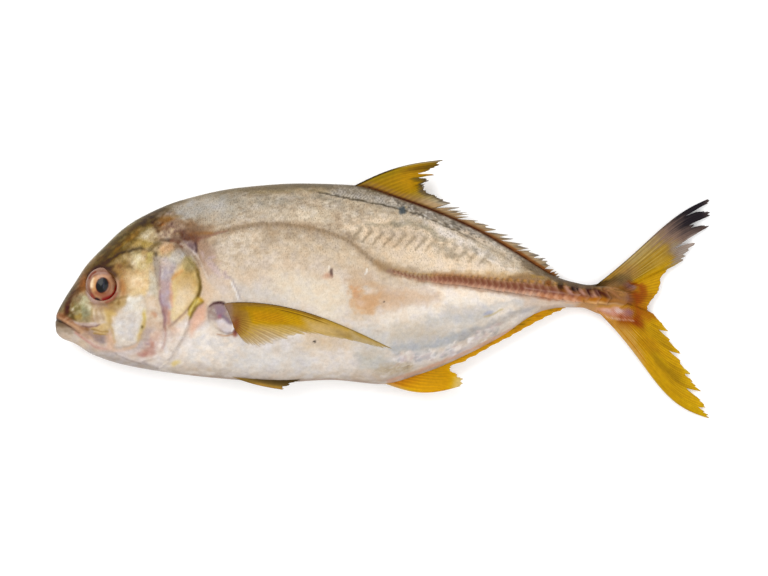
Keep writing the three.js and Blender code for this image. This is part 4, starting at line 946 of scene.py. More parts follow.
def paint_nape(p):
    """Where the head meets the trunk: torn, stained and scaly."""
    p.area("#a28b78", 0.9, 2, [
        (62, 46), (70, 46), (78, 41), (80, 34), (78, 30), (66, 30), (63, 34)], ragged=1.3)
    p.area("#dcc9ac", 0.8, 0.6, [
        (63, 38), (70, 39), (78, 38), (78, 31), (66, 31)], flecks=(1.1, 91, 0.1), relief=0.3)
    p.area("#6d5048", 0.8, 0.6, [
        (63, 37), (70, 40), (80, 37), (80, 31), (70, 31)], flecks=(1.4, 92, 0.2), relief=-0.3)
    p.area("#8f8078", 0.75, 1.2, [
        (60, 47), (66, 48.6), (74, 48), (74, 44.6), (64, 44)], flecks=(1.6, 93, -0.3), ragged=1)
    p.area("#ded6cd", 0.7, 0.6, [(64, 46), (70, 48), (75, 46), (68, 44.6)], flecks=(1.2, 94, 0.3))
    p.area("#a9692a", 0.9, 0.9, [(61.4, 40.6), (64, 38.6), (67.6, 40), (66, 41)])
    p.area("#85602e", 0.85, 0.9, [(62.6, 42.6), (68, 41.4), (73, 43), (70, 44.6), (65, 44)], ragged=0.6)
    p.band("#8d7650", 0.75, (0.8, 0.4), [(66, 43.4), (72, 44.8), (80, 45.2)], ragged=0.4, relief=-0.2)
    # painted shadow to the left of the tear; the dark line after it is painted shade in the tear's gap
    p.area("#5a4a26", 0.85, 1.4, [(53, 40.6), (58, 44.6), (61, 44), (60, 39)], ragged=0.8)
    p.area("#5f4522", 0.7, 1.2, [(57, 45), (61, 44.6), (66, 38), (64, 35.4), (60, 39)], ragged=0.6)
    p.band("#38200f", 0.9, (0.5, 0.8), [
        (58.6, 43.4), (60.4, 40), (63.2, 36.4)], soft=1, ragged=0.8, relief=-0.4)
    p.band("#4a2c14", 0.8, 0.5, [(60.6, 40.6), (64, 40), (66, 41.4)], soft=1, ragged=0.6, relief=-0.2)
    p.band("#4f4338", 0.85, 0.6, [(64.8, 30.4), (67, 30.8), (70, 30.4)], soft=0.8, ragged=0.5, relief=-0.4)
    p.band("#703f2e", 0.85, (0.4, 0.8), [
        (70.6, 30.4), (75, 30), (77.4, 28.2), (78, 26.6)], soft=0.8, relief=-0.4)
    p.area("#cfab86", 0.9, 1.2, [
        (64, 26), (67, 29), (72, 28.6), (74, 25.6), (70, 22.6), (66.6, 21.6)], ragged=0.4, relief=0.6)
    p.blot("#e2bb90", 0.75, 66.6, 24.8, 2, 1.7, soft=0.8)
    p.area("#562c28", 0.9, 1, [
        (77, 36.4), (80.6, 35), (84, 31.6), (83, 29.4), (79.6, 30), (77.6, 33)], ragged=0.8, relief=-0.5)
    p.blot("#c6a89c", 0.6, 79.4, 34, 1, 0.6)
    p.band("#96683a", 0.85, (1.1, 0.6), [(83, 33.6), (88, 34.6), (96, 35)], ragged=0.5)
    p.area("#87503f", 0.6, 1.4, [(82, 32), (90, 32), (88, 29), (84, 28)], ragged=0.8)
    p.area("#684a36", 0.5, 1.6, [
        (72, 33), (76, 37), (84, 37), (90, 32), (86, 28), (78, 29), (73, 29)], ragged=1.2)
    p.area("#b7b4b0", 0.5, 3, [
        (70, 45), (84, 44), (98, 46), (104, 52), (84, 53.6), (72, 50)], flecks=(3, 95, -0.3), ragged=1.6)
    p.blot("#5c5040", 0.6, 61.6, 47.6, 3.4, 1.6, turn=35, soft=0.8)
    p.area("#3c2c10", 0.5, 2, [(50, 42), (56, 46.6), (66, 50.4), (70, 49), (63, 43), (54, 39)], ragged=1)


def paint_shoulder(p):
    """Behind the gill opening: soft skin over the shoulder girdle."""
    p.area("#ab907c", 0.8, 3, [(84, 29), (92, 30), (98, 24), (100, 14), (94, 8), (89, 14)], ragged=1)
    p.area("#cdbcb0", 0.6, 2.4, [
        (90, 20), (96, 18), (104, 8), (108, 2), (104, -3), (96, 4), (91, 10)], ragged=1)
    p.area("#dcc3a8", 0.85, 2.4, [(88.6, 12), (92, 6), (97, -1), (96, -7), (92, -9), (89, -4), (90, 4)])
    p.area("#c3aeb0", 0.6, 0.8, [
        (88, 24), (98, 22), (108, 8), (104, 4), (92, 16)], flecks=(1.9, 96, 0.1), ragged=0.6)
    p.band("#a89a98", 0.5, (0.4, 0.6), [
        (95, 19), (100, 14), (104.6, 9.6), (109, 6)], ragged=0.6, relief=-0.3)
    # a grey painted shadow on the right of the fold's pale edge
    p.band("#aaa09e", 0.6, (0.4, 0.6), [
        (109, 6), (111, 2), (112.2, -1), (113.6, -5.6)], soft=0.8, relief=-0.4)
    p.band("#f1edea", 0.7, 0.5, [(108, 5), (110, 1), (111.2, -2), (112.4, -5.6)], soft=0.8, relief=0.2)
    p.area("#e2d8cf", 0.85, 2.6, [
        (83, -28), (88, -24), (94, -20), (99, -28), (112, -32), (112, -40), (84, -42), (76, -38)])
    p.area("#cfcbc8", 0.55, 1, [
        (80, -32), (92, -24), (110, -32), (112, -44), (80, -44)], flecks=(3, 97, 0.1), ragged=0.8)
    p.area("#efe4d6", 0.6, 1, [
        (80, -30), (92, -24), (110, -32), (112, -44), (80, -44)], flecks=(2.2, 98, 0.2), ragged=0.8)


def paint_marks(p):
    """What has happened to this one flank: stains, nicks, a bruise, drying spots."""
    p.left_only = True
    p.area("#d3ab82", 0.8, 2.4, [
        (180, 3), (186, 5), (196, -1), (212, -2), (212, -6), (198, -8), (194, -14), (186, -15), (180, -8)],
        ragged=2)
    p.area("#c6a27e", 0.45, 3, [
        (180, 7), (190, 8), (200, 4), (202, -6), (196, -13), (184, -13), (179, -4)], ragged=2)
    p.blot("#d1cac0", 0.7, 191, 0.4, 5, 2.6, soft=0.8, ragged=1.8)
    p.blot("#c59a70", 0.6, 191, -6, 6.4, 4, turn=18, soft=0.95, ragged=1.8)
    p.blot("#c98f64", 0.6, 184, 0, 2, 3, soft=0.9, ragged=1.8)
    p.blot("#ddc0a8", 0.6, 187.6, -8, 3, 2, soft=0.8, ragged=1.5)
    p.blot("#e6d6cc", 0.5, 191.6, -0.6, 2, 1.2, soft=0.8)
    p.area("#c8ab90", 0.7, 3.4, [
        (196, 3), (212, 2), (232, -1), (236, -5), (222, -9), (208, -11), (198, -12)], ragged=1.6)
    p.blot("#5f4842", 0.95, 168.2, 10.4, 1, 2.4, turn=8, relief=-0.3)
    p.blot("#b98a72", 0.7, 166, 8.6, 2.6, 1.6, soft=0.9)
    p.blot("#f4ecdf", 0.8, 167, 13.6, 0.6, 1.4, soft=0.7)
    p.band("#f6efe4", 0.9, 0.4, [(189.4, 10.4), (190.6, 13.2)], soft=0.6)
    p.blot("#1d1814", 1, 158.3, -30.9, 0.8, 0.8, soft=0.3, ragged=0.1, relief=-0.2)
    p.blot("#2c241e", 1, 200.4, -6.8, 0.5, 0.5, soft=0.4, ragged=0.1)
    p.blot("#32261f", 0.95, 214.8, -46.8, 1.3, 1, turn=20, soft=0.4, ragged=0.3, relief=-0.3)
    p.area("#b3a288", 0.75, 2.4, [
        (200, -46), (214, -43.6), (220, -46), (216, -50), (202, -52), (196, -50)], ragged=1.2, grain=0.6)
    p.blot("#414b52", 0.9, 211.6, 48.8, 2.2, 2.7, turn=15, soft=0.45, ragged=0.7)
    p.blot("#c9b58e", 0.6, 214, 51, 0.9, 0.6)
    p.blot("#5a5348", 0.8, 242.6, 41.6, 2, 1.4, turn=-35, ragged=0.7)
    # the head: bruise on the cheek's edge, flap of torn silver skin, spots
    p.area("#bd8f84", 0.7, 1.6, [
        (50, -38), (56, -34), (59, -28), (62, -30), (61, -37), (54, -41)], flecks=(2.2, 111, -0.2),
        ragged=1.1)
    p.area("#8f7280", 0.6, 0.9, [
        (54, -34), (56, -30), (60, -29), (59, -34)], flecks=(1.9, 112, 0.1), ragged=0.8)
    p.blot("#b5766a", 0.5, 56, -38, 3.6, 1, turn=22, soft=0.9, ragged=0.8)
    p.blot("#c98464", 0.4, 59.6, -33, 1.2, 2.2, turn=-20, soft=0.9, ragged=0.6)
    p.blot("#46401a", 0.95, 53.9, -22, 0.6, 0.8, ragged=0.1)
    p.blot("#e0c67c", 0.85, 73.6, -43.8, 2.7, 1.6, turn=18, soft=0.6, ragged=0.6)
    p.area("#b3a5aa", 0.95, 0.7, [
        (78, 30.4), (83, 30), (86.4, 29), (86.2, 23.6), (82.6, 25.4)], ragged=0.3, relief=0.5)
    p.area("#6a5560", 0.7, 0.5, [
        (79, 30), (86, 29), (86, 24), (82, 26)], flecks=(1.3, 113, 0.15), ragged=0.3)
    p.band("#463038", 0.95, 0.5, [(86.2, 29), (86.9, 26), (86.5, 22.6)], soft=0.6, ragged=0.2, relief=-0.8)
    p.band("#f3ebe6", 0.95, (0.5, 0.7), [
        (77, 28.4), (80, 26.9), (84, 24.2), (86.2, 22.4)], soft=0.6, ragged=0.2, relief=0.5)
    p.band("#cfc4b8", 0.8, 0.6, [(79, 25.6), (83, 22.4), (86, 18), (87.6, 14)], soft=0.8, relief=0.3)
    p.band("#e2d8d0", 0.75, 0.5, [
        (86.6, 22), (89, 17), (91.6, 11), (94, 7)], soft=0.8, ragged=0.4, relief=0.2)
    p.blot("#50302a", 0.95, 71.2, 40.6, 0.9, 0.7, ragged=0.3, relief=-0.3)
    p.left_only = False


def paint_head_grain(p):
    """Fine veins, brown and pale flecks, that break up every colour of the head."""
    cheeks = [(-1, -20), (6, -36), (30, -42), (64, -52), (78, -40), (84, -20), (93, 2), (92, 20), (84, 28),
              (66, 24), (40, 12), (14, -8)]
    crown = [(2, -20), (14, 12), (40, 40), (66, 52), (84, 44), (84, 28), (66, 22), (44, 12), (20, -20)]
    for region, share in ((cheeks, 0.45), (crown, 1)):
        for hue, strength, seed, size, level in (
                ("#5d4022", 0.16, 123, 2.6, 0.35), ("#a9713a", 0.16, 125, 4.4, 0.3),
                ("#fff6e6", 0.16, 122, 1.9, 0.3), ("#74502e", 0.14, 127, 1.2, 0.4)):
            p.area(hue, share * strength, 3, region, flecks=(size, seed, level))
        p.area("#5f4326", share * 0.13, 3, region, veins=(3.4, 121, 0.1))


def paint_mouth_and_socket(p):
    """The slit of the shut mouth, the rim and hollow that the eye sits in, and last glazes."""
    gape = [(-1, -17.7), (1, -17.9), (5, -19.8), (9.8, -22.7)]
    # painted shade in the slit and in the crease that runs on from it
    p.band("#35261a", 1, (0.9, 0.25), gape, soft=0.8, ragged=0.05, relief=-0.9)
    p.band("#7d543a", 0.6, (0.7, 0.5), [
        (5, -19.8), (9.8, -22.7), (15, -26)], soft=1, ragged=0.1, relief=-0.3)
    rim = np.hypot((p.x - 29.6) / 9.6, (p.y - 2.4) / 9.5)
    p.fill("#5f4530", bell(rim - 1.12, 0.1), 0.35)
    p.fill("#a98272", bell(rim - 0.98, 0.08), 0.65)
    p.band("#bda39e", 0.8, 0.8, [(20.4, 0), (21.6, -3.6), (23.8, -6.2), (27, -7.8)])
    # a painted highlight on the lid's right
    p.band("#d0a898", 0.6, (0.4, 0.5), [(38.8, 5.4), (39.2, 3.6), (38.8, 1.6)], ragged=0.2)
    p.band("#9c5648", 0.7, 0.6, [(38.4, -1.6), (36, -5.2), (32, -7)], ragged=0.2)
    p.band("#4c3010", 0.8, (1.2, 1.5), [(20.6, 9.4), (23.4, 12.4), (27.6, 13.8), (33, 12.8), (37, 9.6)])
    p.area("#3c2810", 0.35, 2, [(24, 14.6), (28, 18.6), (33, 20), (34, 15), (29, 14.4)])
    p.area("#f6e6c8", 0.35, 2.4, [(44, 10), (54, 10), (54, 2), (46, 1)], ragged=0.8)
    p.area("#9a7048", 0.2, 2, [(26, -20), (35, -20), (36, -27), (28, -27)], ragged=0.6)
    p.area("#8a5c3c", 0.22, 2, [(12, -18), (26, -20.6), (28, -28), (14, -26)], ragged=0.6)
    p.area("#6a5040", 0.25, 2.4, [(72, 31), (86, 31), (86, 22), (76, 22)], ragged=0.8)
    p.area("#dcc4a2", 0.45, 2.4, [(76, 8), (84, 8), (86, -2), (81, -8), (74, -8)], ragged=0.8)
    p.area("#b08c74", 0.28, 2.4, [(54, -18), (74, -18), (74, -28), (54, -28)], ragged=0.8)
    p.area("#a99068", 0.4, 2, [(16, 12), (20, 17), (24, 20), (25, 16), (21, 11)], ragged=0.8)
    p.area("#96703c", 0.22, 2.4, [(73, 10), (84, 12), (88, 4), (84, 1), (74, 3)], ragged=0.8)
    p.area("#80542c", 0.3, 2, [(24, -8), (36, -6.6), (38, -12), (27, -13.4)], ragged=0.6)
    p.area("#705038", 0.45, 1.6, [(9.6, -7), (14, -1), (17.4, -3), (14.6, -8)], ragged=0.4)
    p.blot("#b67a48", 0.6, 17.6, 4.4, 1.6, 3.2, turn=-8, soft=0.9)
    # painted shade in the hollow round the eyeball
    p.fill("#6e4034", fade(0.83, 0.9, rim), 1)
    p.relief -= 4.2 * fade(0.79, 0.91, rim)
    p.relief += 0.35 * bell((rim - 0.99) / 0.1, 1)


def plate(x, y, margin, stations, rise, reach, step, taper=5):
    """A bone that stands proud in front of its rear margin and dies out forwards."""
    in_front = margin(y) - x
    ends = smooth(stations[0][0] - taper, stations[0][0] + 4 * taper, y)
    ends = ends * fade(stations[-1][0], stations[-1][0] + taper, y)
    return rise * smooth(-step / 2, step / 2, in_front) * ends * np.exp(-np.maximum(0, in_front) / reach)


def bones(x, y):
    """Relief that both flanks carry under the skin, in mm."""
    keel = smooth(215, 290, x) * fade(340, 352, x) * bell(y - lateral_line(x), 2.6)
    shoulder = bell(x - 100.8, 7.5) * bell(y + 16.4, 9)
    return (plate(x, y, gill_margin, GILL_MARGIN, 1.7, 20, 1) + 1.1 * keel + 2.2 * shoulder
            + plate(x, y, cheek_margin, CHEEK_MARGIN, 0.9, 9, 1))


def paint_fin_root(p):
    """The fleshy lobe that the pectoral fin springs from."""
    p.area("#9b8780", 0.95, 0.8, [
        (93.6, -11), (95.4, -8.6), (100.3, -7), (104.4, -8.6), (108, -12.4), (110.6, -18), (110.4, -24),
        (106.6, -26.6), (100, -24), (94, -18.4)], ragged=0.3, relief=0.8)
    p.area("#c3b9b0", 0.8, 0.8, [
        (94, -11), (97, -10), (99, -13), (98, -16), (94.6, -16)], flecks=(1.6, 101, -0.1), ragged=0.4)
    p.area("#8f7884", 0.85, 1, [(98, -8.6), (103, -8.6), (105, -12), (103, -16), (99, -14)])
    p.blot("#a0506e", 0.5, 101.6, -15.4, 1.5, 1.3, soft=0.8, ragged=0.4)
    p.area("#b6aaa2", 0.75, 0.6, [
        (104, -9.6), (110, -15), (110.4, -19), (106, -15)], flecks=(1.5, 102, -0.1), ragged=0.4, relief=0.2)
    p.band("#7d6d7e", 0.8, 1, [(103.6, -15.4), (106, -18), (108, -19.4)], soft=0.8, ragged=0.4)
    p.area("#e2d9da", 0.85, 1.1, [
        (99, -17.4), (103, -17), (106.6, -19.6), (109.4, -20), (109.6, -24), (105, -25.6), (99.6, -22)],
        ragged=0.3, relief=0.3)
    p.area("#e2d5c6", 0.85, 1.4, [(94, -17), (99, -18), (100, -23), (103, -26), (96, -25.6)])
    # painted shade in the crease above the lobe
    p.band("#3a181a", 0.95, (0.35, 0.85), [
        (95, -9.6), (97.4, -7.8), (100.6, -7), (103.4, -7.6)], soft=0.6, ragged=0.2, relief=-1)
    # painted shadow beside the lobe's free edge
    p.band("#7d3c30", 0.9, (0.9, 1.4), [
        (109.8, -14), (111.6, -18), (111.8, -22), (110, -26.4)], ragged=0.4, relief=-0.6)
    p.band("#b98560", 0.7, 0.5, [(99, -26.6), (104, -27.6), (109.6, -26.6)], ragged=0.4, relief=-0.3)
    p.band("#f4f0f2", 0.8, 0.5, [(109.2, -19), (109.4, -22), (108, -24.6)], soft=0.8, ragged=0.2)


# ---------- Meshes ----------


def colour_mesh(mesh, paint, haze=STUDIO_HAZE):
    """Stores a painted colour for each point, as the finishes read it."""
    rgba = np.ones((len(paint), 4))
    rgba[:, :3] = albedo(paint, haze)
    mesh.color_attributes.new("Paint", "FLOAT_COLOR", "POINT").data.foreach_set("color", rgba.ravel())


def placed(name, data):
    """A new object of a mesh, a lamp or a camera, put into the scene."""
    made = bpy.data.objects.new(name, data)
    bpy.context.collection.objects.link(made)
    return made


def piece(name, points, faces, paint, numbers=None, haze=STUDIO_HAZE):
    """A smooth-shaded mesh in the part's frame, with its painted colour and other attributes."""
    mesh = bpy.data.meshes.new(name)
    mesh.from_pydata((points + TO_PART) * MM, [], faces)
    corners = np.array([[*face, face[-1]][:4] for face in faces])
    a, b, c, d = (points[corners[:, k]] for k in range(4))
    if (a * np.cross(b, c)).sum() + (a * np.cross(c, d)).sum() < 0:
        mesh.flip_normals()
    mesh.polygons.foreach_set("use_smooth", np.ones(len(mesh.polygons), bool))
    colour_mesh(mesh, paint, haze)
    for key, values in (numbers or {}).items():
        mesh.attributes.new(key, "FLOAT", "POINT").data.foreach_set("value", np.ravel(values))
    mesh.update()
    return placed(name, mesh)


def grid_faces(rows, columns, closed=False):
    """Quads between neighbouring rows of a grid; closed joins its last column to the first."""
    across = np.arange(columns if closed else columns - 1)
    i, j = np.meshgrid(np.arange(rows - 1), across, indexing="ij")
    i, j = i.ravel(), j.ravel()
    k = (j + 1) % columns
    return np.stack([i * columns + j, i * columns + k, (i + 1) * columns + k, (i + 1) * columns + j], 1)


def grid_rim(rows, columns):
    """The outermost points of a grid, once round it."""
    last = columns - 1
    return np.concatenate([
        np.arange(columns), np.arange(1, rows) * columns + last,
        (rows - 1) * columns + np.arange(last - 1, -1, -1), np.arange(rows - 2, 0, -1) * columns])


def tube_faces(rings, around):
    """Rings of points joined to a closed tube, with one point for each end stored after them."""
    j = np.arange(around)
    k = (j + 1) % around
    end = (rings - 1) * around
    start_fan = np.stack([np.full(around, rings * around), k, j], 1)
    end_fan = np.stack([end + j, end + k, np.full(around, rings * around + 1)], 1)
    return grid_faces(rings, around, closed=True).tolist() + start_fan.tolist() + end_fan.tolist()


UPPER_POINTS = 170  # round the flank that is seen
LOWER_POINTS = 50  # round the flank that lies on the table
SNOUT_STATIONS = [0.03, 0.12, 0.3, 0.6]
HEAD_STATIONS = np.arange(1.1, 95, 0.55)  # closer, for the head's finer paint and relief
TRUNK_STATIONS = np.arange(95, BODY_END - 0.4, 0.95)
GIRTH_SAMPLES = 500  # by which each ring's points are spread evenly
# the head's paint has its contrast raised about a middle grey, and its colour as well
HEAD_GREY, HEAD_LEVEL, HEAD_CONTRAST, HEAD_COLOUR = 0.63, 0.59, 1.12, 1.1


def skin():
    """The whole body and head in one closed skin, ring after ring from snout to tail."""
    stations = np.concatenate([SNOUT_STATIONS, HEAD_STATIONS, TRUNK_STATIONS])
    angle = np.linspace(-np.pi / 2, np.pi / 2, GIRTH_SAMPLES)
    rings = []
    for x in stations:
        widest, along = widest_at(x), np.full(len(angle), x)
        reach = np.where(angle > 0, back_at(x) - widest, widest - belly_at(x))
        y = widest + reach * np.sin(angle)
        girth = np.concatenate([[0], np.cumsum(np.hypot(np.diff(y), np.diff(flank(along, y))))])
        upper = np.interp(np.linspace(0, girth[-1], UPPER_POINTS + 1), girth, y)
        lower = np.interp(np.linspace(girth[-1], 0, LOWER_POINTS + 1), girth, y)[1:-1]
        rings.append(np.concatenate([upper, lower]))
    y = np.array(rings)
    x = np.repeat(stations[:, None], y.shape[1], 1)
    left = np.arange(y.shape[1]) <= UPPER_POINTS
    side = np.where(left, 1.0, -1.0)[None, :]
    half = flank(x, y)
    z = np.where(side > 0, middle_plane(x) + half, settled(middle_plane(x) - half))
    place = np.stack([x, y, z], 2)
    ahead = np.gradient(place, axis=0)
    around = np.roll(place, -1, 1) - np.roll(place, 1, 1)
    normal = np.cross(ahead, around)
    normal /= np.maximum(np.linalg.norm(normal, axis=2, keepdims=True), 1e-9)
    outward = np.stack([np.zeros_like(x), y - widest_at(x), z - middle_plane(x)], 2)
    normal *= np.sign((normal * outward).sum((1, 2), keepdims=True))

    fx, fy = x.ravel(), y.ravel()
    on_left = np.repeat((side > 0).astype(float), len(stations), 0).ravel()
    edge = np.where(y > widest_at(x), back_at(x), belly_at(x))
    out = np.sign(y - widest_at(x)) * (flank(x, widest_at(x)) - side * half)
    girth = (np.where(side > 0, y, 2 * edge - y) + out).ravel()
    p = Coat(fx, fy, on_left, base_tones(fx, fy), girth)
    for layer in (paint_trunk, paint_dorsal_line, paint_keel, paint_tail_root, paint_shoulder, paint_crown,
                  paint_nape, paint_cheek, paint_gill_cover, paint_marks, paint_head_grain, paint_fin_root,
                  paint_mouth_and_socket):
        layer(p)
    # flesh has no hard edges: the paint and the relief of the head bleed a little
    softly = fade(90, 104, x)[..., None]
    coats = np.concatenate([p.colour, p.relief[:, None]], 1).reshape(*x.shape, 4)
    bled = (coats + 0.5 * (np.roll(coats, 1, 1) + np.roll(coats, -1, 1))) / 2
    bled[1:-1] = (2 * bled[1:-1] + bled[:-2] + bled[2:]) / 4
    coats = coats + softly * (bled - coats)
    grey = coats[..., :3].mean(2, keepdims=True)
    low = fade(-26, -10, y)[..., None]
    level = HEAD_LEVEL + 0.045 * low + HEAD_CONTRAST * (grey - HEAD_GREY)
    richer = level + (HEAD_COLOUR - 0.16 * low) * (coats[..., :3] - grey)
    coats[..., :3] += softly * (richer - coats[..., :3])
    coats = coats.reshape(-1, 4)
    p.colour, p.relief = coats[:, :3], coats[:, 3]
    relief = (bones(fx, fy) + p.relief).reshape(x.shape)
    calm = smooth(0.02, 0.3, roundness_at(x, y))
    gape = bell(y - GAPE["y"], GAPE["high"]) * (x < GAPE["back"])
    place = place + normal * (relief * np.maximum(calm, gape))[..., None]
    place[..., 2] = np.maximum(place[..., 2], 0)

    snout = [0, BACK[0][1], middle_plane(0)]
    tail = [BODY_END, BACK[-1][1], middle_plane(BODY_END)]
    points = np.concatenate([place.reshape(-1, 3), [snout, tail]])
    faces = tube_faces(*x.shape)
    paint = np.concatenate([p.colour, p.colour[[0, -1]]])
    height = np.clip(share_of_height(fx, fy), 0, 1)
    pepper = 0.15 + 0.85 * smooth(0.35, 0.95, height + 0.08 * mottle(fx, fy, 12, 31))
    scaly = smooth(70, 100, fx) * (1 - 0.7 * smooth(320, 345, fx))
    numbers = {"Pepper": np.append(pepper, [1, 1]), "Scaly": np.append(scaly, [0, 0])}
    return piece("skin", points, faces, paint, numbers, haze=SKIN_HAZE)


def on_ray(rays, skew, ray, share):
    """Where a ray is at a share of its length, and how long it is; it bows to one side."""
    root_x, root_y, tip_x, tip_y, bow = np.moveaxis(between(rays, ray), -1, 0)
    length = np.hypot(tip_x - root_x, tip_y - root_y)
    side = bow * np.sin(np.pi * share ** skew)
    x = root_x + (tip_x - root_x) * share - (tip_y - root_y) / length * side
    y = root_y + (tip_y - root_y) * share + (tip_x - root_x) / length * side
    return x, y, length


RIBS = 3  # from one drawn ray to the next
FIN_THINNEST = 0.15  # mm between the two faces
FIN_OVER_TABLE = 0.12  # mm, where a fin lies flat on it


def fin(name, rays, tears, skew, faces_at, paint, columns, rows, fray, rib, seed):
    """A fan of rays with a face on each side: thin, ribbed along its rays, frayed at its edge.
    columns lie between two drawn rays, rows along each; rib is the height of a rib in mm."""
    last = len(rays) - 1
    ray = np.unique(np.concatenate([np.linspace(0, last, last * columns + 1),
                                    [at for at, _ in tears]]))
    share = np.linspace(0, 1, rows + 1)
    ray, share = np.meshgrid(ray, share, indexing="ij")
    jag = mottle(ray * 9, ray * 0, 1, seed) + 0.7 * mottle(ray * 27, ray * 0, 1, seed + 1)
    edge = stepped(tears, ray) * (1 - fray * (1 + jag))
    reach = share * edge
    x, y, length = on_ray(rays, skew, ray, reach)
    forks = smooth(0.35, 0.75, reach)
    wave = (1 - forks) * np.cos(2 * np.pi * RIBS * ray) + forks * np.cos(4 * np.pi * RIBS * ray)
    top, under = faces_at(x, y, reach)
    raised = rib * wave * smooth(0, 0.1, reach) * smooth(0, 0.06, 1 - share)
    upper = np.stack([x, y, top + raised], 2)
    lower = np.stack([x, y, np.minimum(under - raised, top + raised - FIN_THINNEST)], 2)
    lower[..., 2] = np.maximum(lower[..., 2], 0)
    upper[..., 2] = np.maximum(upper[..., 2], lower[..., 2] + FIN_OVER_TABLE)
    many, deep = ray.shape
    points = np.concatenate([upper.reshape(-1, 3), lower.reshape(-1, 3)])
    sheet = grid_faces(many, deep)
    size = many * deep
    rim = grid_rim(many, deep)
    after = np.roll(rim, -1)
    sides = np.stack([after, rim, rim + size, after + size], 1)
    faces = np.concatenate([sheet, sheet[:, ::-1] + size, sides]).tolist()
    p = Coat(x.ravel(), y.ravel(), np.ones(size), np.zeros((size, 3)))
    paint(p, ray.ravel(), reach.ravel(), share.ravel())
    numbers = {"Ray": ray * RIBS, "Forks": forks, "Along": reach * length}
    both_faces = {key: np.tile(values.ravel(), 2) for key, values in numbers.items()}
    return piece(name, points, faces, np.tile(p.colour, (2, 1)), both_faces)


def median_faces(root, tip, sag, off_middle=0):
    """Both faces of a fin that stands in the body's middle plane, thinning from root to tip."""
    def faces_at(x, y, reach):
        half = (root + (tip - root) * reach) / 2
        middle = middle_plane(x) + off_middle - sag * reach ** 2
        return middle + half, middle - half
    return faces_at


def pectoral_upper_faces(x, y, reach):
    """The fin that lies on the upper flank."""
    skin_at = middle_plane(x) + flank(x, y) + bones(x, y) * roundness_at(x, y)
    return skin_at + 0.3 + 0.9 * (1 - reach) - 0.3 * smooth(0.75, 1, reach), skin_at - 1.2


def pectoral_lower_faces(x, y, reach):
    """The fin that is pressed between the lower flank and the table."""
    skin_at = middle_plane(x) - flank(x, y)
    return settled(skin_at) + 1.4, settled(skin_at - 0.9)


# ---------- The fins' colours ----------


def rays_of(ray, across, sharp=0.3):
    """Where single rays run, across a fan numbered by its drawn rays."""
    return bell(np.sin(np.pi * across * ray), sharp)


